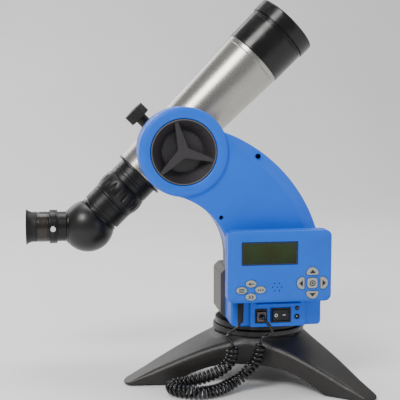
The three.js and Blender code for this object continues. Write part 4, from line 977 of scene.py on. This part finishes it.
def build_switch():
    rim = [box_loop(SWITCH_AT, SWITCH_SIZE, 0, 1.0), hole(box_loop(SWITCH_AT, SWITCH_SIZE, -1.6, 0.5))]
    piece("switch_body", plate(rim, PANEL_FRONT - 0.8, -50, 0.5, 0.2), "arm", MATT_BLACK,
          ["switch_frame"])
    half = ROCKER_SIZE[0] / 2
    x, z = SWITCH_AT
    section = softened([
        (-half, PANEL_FRONT - 2.2), (0, PANEL_FRONT + 0.2), (half, PANEL_FRONT - 0.6),
        (half - 2.4, PANEL_FRONT + 3.6), (-half + 2.4, PANEL_FRONT + 3.6),
    ], [0.5, 3.0, 0.5, 0.5, 0.5], ring=True) + [x, 0]
    ends = z - ROCKER_SIZE[1] / 2, z + ROCKER_SIZE[1] / 2
    piece("rocker_cap", plate([section], ends[1], ends[0], 0.4, 0.4, seen_from_above), "rocker", BLACK,
          ["rocker"])
    slope = 2.4 / half

    def on_left_face(u, v, depth):
        """The left half of the rocker leans out to the left."""
        return np.stack([u, depth + PANEL_FRONT + 0.2 - slope * (x - u), v], axis=-1)

    def on_right_face(u, v, depth):
        return np.stack([u, depth + PANEL_FRONT + 0.2 - 0.8 / half * (u - x), v], axis=-1)

    ring = [circle(x - 5.2, z, 1.9, 32), hole(circle(x - 5.2, z, 1.2, 32))]
    piece("rocker_ring_mark", plate(ring, -0.12, 0.25, 0.05, 0.02, on_left_face, 0.02), "rocker", WHITE_INK)
    bar = oblong(x + 2.2, z - 0.45, x + 5.6, z + 0.45, 0.2, 3)
    piece("rocker_bar_mark", plate([bar], -0.12, 0.25, 0.05, 0.02, on_right_face, 0.02), "rocker", WHITE_INK)


def build_plug():
    """The lead's plug: a clear amber block in the socket, ribbed on its face, and a short boot on the cord."""
    x, z = SOCKET_AT
    body = piece("plug_body", plate([box_loop(SOCKET_AT, PLUG_SIZE)], -63, -50.6, 0.7, 0.3), "arm", AMBER,
                 ["cord_plug"])
    ribs = []
    for number, low in enumerate((-4.4, -2.6, 2.4, 3.9)):
        rib = oblong(x - 3.6, z + low, x + 3.6, z + low + 0.8, 0.3, 3)
        ribs.append(piece(f"plug_rib_{number + 1}", plate([rib], -63.35, -62.7, 0.2, 0.05), "arm", AMBER))
    boot = softened([(-65.4, 1.45), (-65.4, 1.9), (-62.8, 2.5), (-62.8, 1.45)], 0.25, ring=True)
    ribs.append(piece("plug_boot", turned(boot, deep_line(x, z + 0.9), 32, ring=True), "arm", RUBBER))
    return [body] + ribs


# ---------------------------------------------------------------- handset

KEYPAD_X, KEYPAD_Z = 43.1, 121.8
KEY_FRONT = HANDSET_FRONT - 1.4
SMALL_KEYS = {
    "back": (-24.8, 122.6),
    "menu": (-35.1, 115.5),
    "help": (-14.4, 115.8),
    "speed": (-25.0, 108.3),
}
ARROW_KEYS = {"right": 0, "up": 90, "left": 180, "down": 270}
SPEAKER_AT = (4.2, 118.2)


def arrow_key(direction, grow=0.0):
    """A half-round key: a flat side near the pad's middle and half an oval beyond it."""
    near, far, half = 8.9 - grow, 17.4 + grow, 6.8 + grow
    a = np.radians(np.linspace(-90, 90, 25))
    bulge = np.stack([near + 1.5 + (far - near - 1.5) * np.cos(a), half * np.sin(a)], axis=1)
    loop = np.concatenate([[[near, -half + 0.8]], bulge, [[near, half - 0.8]]])
    return turned_by(loop, direction, KEYPAD_X, KEYPAD_Z)


def enter_key(grow=0.0):
    half = 5.8 + grow
    return oblong(KEYPAD_X - half, KEYPAD_Z - half, KEYPAD_X + half, KEYPAD_Z + half, 3.4 + grow)


def key_outlines(grow=0.0):
    loops = {name: arrow_key(direction, grow) for name, direction in ARROW_KEYS.items()}
    loops["enter"] = enter_key(grow)
    for name, (x, z) in SMALL_KEYS.items():
        loops[name] = ellipse(x, z, 5.9 + grow, 3.95 + grow)
    return loops


def key_marks():
    """What is printed on each key: a triangle, a ring and dot, an arrow, bars, dots or chevrons."""
    marks = {}
    for name, direction in ARROW_KEYS.items():
        triangle = [(10.9, -3.6), (14.9, 0), (10.9, 3.6)]
        marks[name] = [[turned_by(triangle, direction, KEYPAD_X, KEYPAD_Z)]]
    marks["enter"] = [
        [circle(KEYPAD_X, KEYPAD_Z, 3.2, 32), hole(circle(KEYPAD_X, KEYPAD_Z, 2.1, 32))],
        [circle(KEYPAD_X, KEYPAD_Z, 1.1, 20)],
    ]
    x, z = SMALL_KEYS["back"]
    marks["back"] = [[np.array([
        (x - 3.4, z), (x - 0.6, z - 1.7), (x - 0.6, z - 0.5), (x + 3.2, z - 0.5), (x + 3.2, z + 0.5),
        (x - 0.6, z + 0.5), (x - 0.6, z + 1.7),
    ])]]
    x, z = SMALL_KEYS["menu"]
    marks["menu"] = [[oblong(x - 3.1, z + k - 0.42, x + 3.1, z + k + 0.42, 0.35, 3)] for k in (-1.5, 0, 1.5)]
    x, z = SMALL_KEYS["help"]
    marks["help"] = [[circle(x + k, z, 0.85, 20)] for k in (-2.5, 0, 2.5)]
    x, z = SMALL_KEYS["speed"]
    chevron = np.array([(-1.5, -1.8), (-0.1, -1.8), (1.6, 0), (-0.1, 1.8), (-1.5, 1.8), (0.2, 0)])
    marks["speed"] = [[chevron + [x + k, z]] for k in (-1.6, 1.6)]
    return marks


def build_keys():
    for name, loop in key_outlines().items():
        body = f"key_{name}"
        piece(f"{name}_key", plate([loop], KEY_FRONT, HANDSET_FRONT + 3.2, 0.9, 0.2), body, KEY_GREY,
              [body])
    for name, marks in key_marks().items():
        for number, loops in enumerate(marks, start=1):
            surface = plate(loops, KEY_FRONT - 0.08, KEY_FRONT + 0.3, 0.04, 0.02, hold=0.02)
            piece(f"{name}_mark_{number}", surface, f"key_{name}", INK)


def speaker_holes():
    """Seven small holes, six of them round the first."""
    x, z = SPEAKER_AT
    places = [(x, z)] + [(x + 5 * math.cos(a), z + 4.6 * math.sin(a)) for a in np.arange(6) / 6 * TAU]
    return [hole(circle(px, pz, 0.62, 16)) for px, pz in places]


def build_handset():
    outline = oblong(-49.7, 101, 64.9, 179.5, 7, 14)
    screen = hole(oblong(-35, 142.5, 26.9, 167.9, 0.8, 4))
    keys = [hole(loop) for loop in key_outlines(0.35).values()]
    front = plate([outline, screen] + keys + speaker_holes(), HANDSET_FRONT, HANDSET_PART, 0.45, 0.2)
    points, faces = front
    points = crowned(points)
    piece("handset_face", (points, faces), "handset", BLUE_CASE, ["handset_front"])
    piece("handset_back", plate([outline], HANDSET_BACK, HANDSET_PART + GAP, 3.0, 0.2), "handset", BLUE_CASE,
          ["handset_rear"])
    surround = [oblong(-34.8, 142.7, 26.7, 167.7, 0.6, 4), hole(oblong(-32.9, 144.5, 24.8, 165.9, 0.5, 4))]
    piece("screen_surround", plate(surround, HANDSET_FRONT + 0.5, -79, 0.3, 0.1), "handset", NAVY)
    glass = oblong(-34.7, 142.8, 26.6, 167.6, 0.5, 4)
    pane = plate([glass], HANDSET_FRONT + 0.9, HANDSET_FRONT + 2.4, 0.1, 0.1)
    piece("screen_glass", pane, "handset", SCREEN,
          ["lcd_window"])
    x, y = -33.5, -66.6
    ribs = [(77 + k * 0.5, 3.1 + 0.6 * k / 48 + (0.3 if k % 4 < 2 else -0.35)) for k in range(49)]
    sleeve = np.array([(77, 1.9)] + ribs + [(103.2, 3.7), (103.2, 4.4), (105, 4.4), (105, 1.9)])
    piece("lead_sleeve", turned(sleeve, upright_line(x, y), 40, ring=True), "handset", RUBBER,
          ["strain_relief"])


def crowned(points):
    """The handset's face falls away towards its rim: the depth grows by 2.6*q^2.2, where q goes from 0 to 1
    over the last 5 mm before the outline."""
    x, z = points[:, 0], points[:, 2]
    edge = np.minimum.reduce([x + 49.7, 64.9 - x, z - 101, 179.5 - z])
    corner_x = np.clip(np.maximum(-49.7 + 7 - x, x - (64.9 - 7)), 0, None)
    corner_z = np.clip(np.maximum(101 + 7 - z, z - (179.5 - 7)), 0, None)
    in_corner = (corner_x > 0) & (corner_z > 0)
    edge = np.where(in_corner, np.minimum(edge, 7 - np.hypot(corner_x, corner_z)), edge)
    fall = 2.6 * np.clip(1 - edge / 5.0, 0, 1) ** 2.2
    front = np.clip((HANDSET_PART - 1 - points[:, 1]) / (HANDSET_PART - 1 - HANDSET_FRONT), 0, 1)
    out = points.copy()
    out[:, 1] += fall * front
    return out


# ---------------------------------------------------------------- knob and saddle

KNOB_FRONT, KNOB_BACK, KNOB_FLOOR = -52.5, -31.9, -38.0
GRIP_TURNS = (104, 224, 344)


def grip_outline():
    """Three tapering finger arms round a boss, blunt at their ends."""
    arm = [(34.6, -1.8), (34.6, 1.8), (3.3, 5.7)]
    loop = np.concatenate([turned_by(arm, turn, HUB_X, HUB_Z) for turn in GRIP_TURNS])
    radii = np.tile([1.4, 1.4, 2.4], len(GRIP_TURNS))
    return softened(loop, radii, steps=8, ring=True)


def build_knob():
    bowl = softened([
        (KNOB_BACK, 0), (KNOB_BACK, 36), (-51.6, 36), (KNOB_FRONT, 35.4),
        (KNOB_FRONT, 34.4), (KNOB_FLOOR, 23),
        (KNOB_FLOOR, 0),
    ], [0, 0.8, 0.4, 0.3, 0.3, 0.8, 0])
    piece("knob_cup", turned(bowl, HUB_LINE, 144), "altitude_knob", KNOB_GREY,
          ["altitude_knob"])
    # The rim ring's lighter grey is a painted highlight along the knob's edge.
    rim = softened([(-52.0, 34.5), (KNOB_FRONT - 0.05, 34.7), (KNOB_FRONT - 0.05, 35.5), (-51.8, 36.0)], 0.2,
                   ring=True)
    piece("knob_rim", turned(rim, HUB_LINE, 144, ring=True), "altitude_knob", KNOB_RIM_HIGHLIGHT)
    proud = KNOB_FLOOR - 0.35
    groove = softened([(proud, 21.6), (proud, 22.4), (-37.5, 22.6), (-37.5, 21.4)], 0.2,
                      ring=True)
    piece("knob_floor_ring", turned(groove, HUB_LINE, 120, ring=True), "altitude_knob", KNOB_GREY)
    grip = plate([grip_outline()], -51.5, KNOB_FLOOR + 1, 0.5, 0.1, hold=0.1)
    piece("knob_grip", grip, "altitude_knob", KNOB_GREY,
          ["altitude_knob"])


def knurl(s, r, a):
    """Two sets of slanting grooves that cross in diamonds, on the head's round side only."""
    side = (r > 12.3) & (s > 54.6) & (s < 65.4)
    first = np.abs(np.sin(a * 14 + s * 1.1))
    second = np.abs(np.sin(a * 14 - s * 1.1))
    return np.where(side, -0.7 + 0.7 * np.minimum(1, 1.6 * np.minimum(first, second)), 0)


def build_saddle():
    disc = softened([(11.6, 0), (11.6, 40), (16.6, 40), (16.6, 0)], [0, 0.8, 1.0, 0])
    piece("saddle_disc", turned(disc, HUB_LINE, 120), "saddle", BLACK, ["saddle_clamp"])
    low, high = TUBE_RISE - 18.4, TUBE_RISE + 18.4
    jaw = softened([
        (15.6, -24), (31, -24), (31, low + 4), (21.6, low),
        (21.6, high), (31, high - 4), (31, 34), (15.6, 34),
    ], 1.3, ring=True)
    piece("saddle_jaws", plate([jaw], -22, 22, 0.8, 0.8, seen_along_tube), "saddle", BLACK,
          ["saddle_clamp"])
    bar = softened([
        (22, TUBE_RISE - 18), (30.4, TUBE_RISE - 14), (30.4, TUBE_RISE - 12), (41, TUBE_RISE - 12),
        (41, TUBE_RISE + 12), (30.4, TUBE_RISE + 12), (30.4, TUBE_RISE + 14), (22, TUBE_RISE + 18),
    ][::-1], 0.95, ring=True)
    dovetail = plate([bar], -38, 34, 0.6, 0.6, seen_along_tube)
    piece("dovetail", dovetail, "optical_tube", BLACK,
          ["dovetail_bar"])
    line = line_at(HUB - 4 * ALONG_TUBE + [0, 25, 0], OVER_TUBE, ALONG_TUBE)
    head = softened([
        (23.7, 0), (23.7, 3), (34.4, 3), (34.4, 6.6), (54, 6.6), (54, 12.7), (66, 12.7), (66, 8.5),
        (65.2, 7.8), (65.2, 0),
    ], [0, 0.4, 0.2, 0.8, 0.6, 0.8, 0.9, 0.3, 0.3, 0])
    piece("lock_knob", turned(stepped(head, 0.45), line, 240, relief=knurl), "lock_screw", MATT_BLACK,
          ["lock_screw"])


# ---------------------------------------------------------------- optical tube


def tube_radius(s):
    return 30.4 + 7.1 * (s + 50.4) / 194.4


def on_tube(name, profile, radii, body, material, stands_for, segments=128, ring=True, relief=None,
            spacing=None):
    """A piece turned about the tube's line."""
    soft = softened(profile, radii, ring=ring)
    if spacing:
        soft = stepped(np.concatenate([soft, soft[:1]]) if ring else soft, spacing)
        soft = soft[:-1] if ring else soft
    return piece(name, turned(soft, TUBE_LINE, segments, ring=ring, relief=relief), body, material,
                 stands_for)


def flutes(s, r, a):
    """Eighteen lens-shaped hollows: 1.7*sqrt(1 - (x/2.1)^2 - (s/6.4)^2) deep, from each one's middle."""
    share = np.mod(a * 18 / TAU + 0.5, 1) - 0.5
    across = share * TAU / 18 * 28.4
    along = s + 83.6
    depth = np.sqrt(np.clip(1 - (across / 2.1) ** 2 - (along / 6.4) ** 2, 0, 1))
    return np.where(r > 26.0, -1.7 * depth, 0)


def build_tube():
    wall = 1.5
    front, rear = 144.0, -50.4
    on_tube("silver_tube", [
        (rear, tube_radius(rear)), (137.6, tube_radius(137.6)), (138.0, tube_radius(138) - 0.35),
        (138.5, tube_radius(138.5) - 0.35), (138.9, tube_radius(138.9)), (front, tube_radius(front)),
        (front, tube_radius(front) - wall), (rear, tube_radius(rear) - wall),
    ], 0.3, "optical_tube", SILVER, ["main_tube"], 192)
    on_tube("dew_shield_tube", [
        (132, 35), (144.3, 35), (144.3, 38.2), (181.6, 38.55), (182.0, 37.9), (183.0, 37.9), (183.4, 38.6),
        (184.1, 38.6), (184.4, 38.1), (185.0, 38.1), (185.3, 38.6), (186.0, 38.6), (186.3, 38.1),
        (200.5, 38.1), (200.5, 36.4), (148.3, 36.0), (148.3, 31.5), (132, 31.5),
    ], [0.3, 0.2, 0.7] + [0.12] * 10 + [0.4, 0.4, 0.3, 0.3, 0.3], "optical_tube", BLACK_GLOSS,
            ["dew_shield"], 160)
    on_tube("front_lens", [(134.4, 0), (134.8, 15), (136.4, 31.2), (139.6, 31.2), (141.2, 15), (141.6, 0)],
            [0, 6, 0.3, 0.3, 6, 0], "optical_tube", GLASS, ["objective_lens"], 96,
            ring=False)
    on_tube("front_cap", [
        (186.8, 38.9), (186.8, 39.9), (203.3, 39.9), (203.3, 35.5), (202.8, 34.6),
        (202.8, 12.5), (203.2, 11.5), (203.2, 0), (201.3, 0), (201.3, 38.9),
    ], [0.2, 0.4, 2.6, 0.4, 0.4, 0.4, 0.4, 0, 0, 0.3], "lens_cap", BLACK_GLOSS, ["lens_cap"],
            160, ring=True)
    on_tube("rear_flange", [(-50.7, 22.7), (-50.7, 31.7), (-53.3, 31.7), (-53.3, 22.7)], 0.5, "optical_tube",
            BLACK, ["focuser_body"], 128)
    on_tube("focuser_barrel", [
        (-53.0, 22.7), (-53.0, 26.7), (-60.6, 26.7), (-60.9, 26.2), (-61.4, 26.2), (-61.7, 26.7),
        (-64.6, 26.7), (-64.9, 26.2), (-65.4, 26.2), (-65.7, 26.7), (-71.4, 26.7), (-71.4, 24.5),
        (-96.4, 24.5), (-96.4, 22.7),
    ], [0.2, 0.3] + [0.12] * 8 + [0.5, 0.3, 0.3, 0.2], "optical_tube", BLACK,
            ["focuser_body"], 128)
    t = np.linspace(0, 1, 11)
    swell = [2.0 * math.sin(math.pi * min(1, k * 1.12)) ** 0.8 if k < 0.88 else 0.2 for k in t]
    bulge = [(-71.9 - 24.7 * k, 26.4 + more) for k, more in zip(t, swell)]
    on_tube("focus_grip", [(-71.9, 24.9)] + bulge + [(-96.6, 24.9)], [0.2, 0.6] + [1.0] * 9 + [0.6, 0.2],
            "focus_ring", BLACK, ["focus_ring"], 480, relief=flutes, spacing=0.7)
    on_tube("draw_collar", [
        (-58, 20.2), (-58, 22.2), (-97.1, 22.2), (-97.1, 26.2), (-101.4, 26.2), (-101.6, 25.9),
        (-102.0, 25.9),
        (-102.2, 26.2), (-111.6, 26.2), (-111.8, 25.9), (-112.2, 25.9), (-112.4, 26.2), (-116.3, 26.2),
        (-116.3, 20.2),
    ], [0.2, 0.4, 0.2, 0.5] + [0.08] * 8 + [0.6, 0.2], "draw_tube", BLACK,
            ["draw_tube"], 128)


def build_diagonal():
    radius = 31.1
    a = np.linspace(-math.pi / 2, math.asin((-121.4 - BALL_AT) / radius), 28)
    ball = [(BALL_AT + radius * math.sin(k), max(0.0, radius * math.cos(k))) for k in a]
    neck = [(-121.4, 25.2), (-118.6, 25.2), (-118.6, 23.4), (-116.7, 23.4), (-116.7, 19.8), (-104.7, 19.8),
            (-104.7, 0)]
    profile = np.concatenate([ball, softened([ball[-1]] + neck, [0] + [0.3] * 6 + [0])[1:]])
    piece("diagonal_ball", turned(profile, TUBE_LINE, 144), "diagonal", BALL_BLACK,
          ["diagonal_housing"])
    ring = softened([(-121.2, 24.0), (-121.2, 25.6), (-118.8, 25.6), (-118.8, 24.0)], 0.5, ring=True)
    piece("neck_ring", turned(ring, TUBE_LINE, 128, ring=True), "diagonal", CHROME_BLACK)
    holder = softened([
        (22, 16.3), (22, 17.8), (36.6, 17.8), (36.6, 20.2), (38.2, 20.2), (38.5, 19.8), (38.9, 19.8),
        (39.2, 20.2), (45.9, 20.2), (45.9, 16.3),
    ], [0.2, 0.3, 0.5, 0.8, 0.1, 0.1, 0.1, 0.1, 0.8, 0.3], ring=True)
    piece("eyepiece_band", turned(holder, EYE_LINE, 120, ring=True), "diagonal", BLACK,
          ["eyepiece_holder"])
    collar = [(18, 20.4), (24.4, 20.4), (26.2, 17.9), (26.2, 16.3), (18, 16.3)]
    foot = softened(collar, [0.2, 1.5, 1.2, 0.2, 0.2],
                    ring=True)
    piece("ball_socket", turned(foot, EYE_LINE, 96, ring=True), "diagonal", BLACK_GLOSS,
          ["diagonal_housing"])
    line = line_at(BALL + [-41.3, 0, 0], (0, -1, 0), (1, 0, 0))

    def serrated(s, r, a):
        return np.where((r > 3.0) & (s > 20.6) & (s < 22.8), 0.14 * np.cos(a * 22), 0)

    screw = softened([
        (16.5, 0), (16.5, 1.9), (20.5, 1.9), (20.5, 3.3), (23.2, 3.3), (23.2, 1.3), (22.9, 1.0), (22.9, 0),
    ], [0, 0.1, 0.1, 0.2, 0.7, 0.1, 0.1, 0])
    piece("clamp_screw", turned(stepped(screw, 0.5), line, 132, relief=serrated), "holder_screw", CHROME,
          ["holder_screw"])


def build_eyepiece():
    barrel = softened([
        (22, 13), (22, 15.875), (46.2, 15.875), (46.2, 18.1), (47.6, 18.1), (47.8, 17.8), (48.2, 17.8),
        (48.4, 18.1), (58.4, 18.1), (58.7, 17.7), (60.3, 17.7), (60.3, 16.5), (66, 16.5), (66, 13),
    ], [0.2, 0.5, 0.1, 0.5] + [0.08] * 4 + [0.2, 0.2, 0.3, 0.2, 0.3, 0.2], ring=True)
    piece("eyepiece_body", turned(barrel, EYE_LINE, 120, ring=True), "eyepiece", BRONZE_BLACK,
          ["eyepiece_barrel"])
    outer = [(60.6 + 0.4 * k, 17.9 + (0.22 if k % 4 < 2 else -0.1)) for k in range(17)]
    flare = [(67.4, 18.3), (69.4, 18.9), (71.4, 20.0), (72.6, 21.0), (73.2, 21.3), (73.2, 20.2), (70.4, 18.4),
             (67.6, 16.2), (67.6, 11), (66.3, 11), (66.3, 16.8), (60.6, 16.8)]
    piece("rubber_eyecup", turned(np.array(outer + flare), EYE_LINE, 120, ring=True), "eyepiece", RUBBER,
          ["eyecup"])
    lens = softened([
        (52, 0), (52.4, 7), (53.2, 12.7), (56, 12.7), (56.6, 7), (57, 0),
    ], [0, 3, 0.2, 0.2, 3, 0])
    piece("rear_lens", turned(lens, EYE_LINE, 64), "eyepiece", GLASS, ["eye_lens"])


def dress_inner_parts():
    for node in ("pivot_post", "altitude_shaft", "altitude_motor", "azimuth_motor"):
        dressed(node, STEEL)
    for node in ("azimuth_gear", "altitude_gear"):
        dressed(node, NYLON)
    for node in ("azimuth_pinion", "altitude_pinion"):
        dressed(node, BRASS)
    for node in ("main_board", "handset_board"):
        dressed(node, BOARD)
    dressed("battery_pack", CELLS)
    dressed("diagonal_prism", GLASS)


# ---------------------------------------------------------------- the whole telescope

build_camera()
build_lights()
build_floor(FLOOR)
cord, cord_path = build_cord()
plug_pieces = build_plug()
build_stand()
build_turntable()
build_arm_covers()
build_battery_box()
build_panel()
build_handset()
build_keys()
build_knob()
build_saddle()
build_tube()
build_diagonal()
build_eyepiece()
dress_inner_parts()
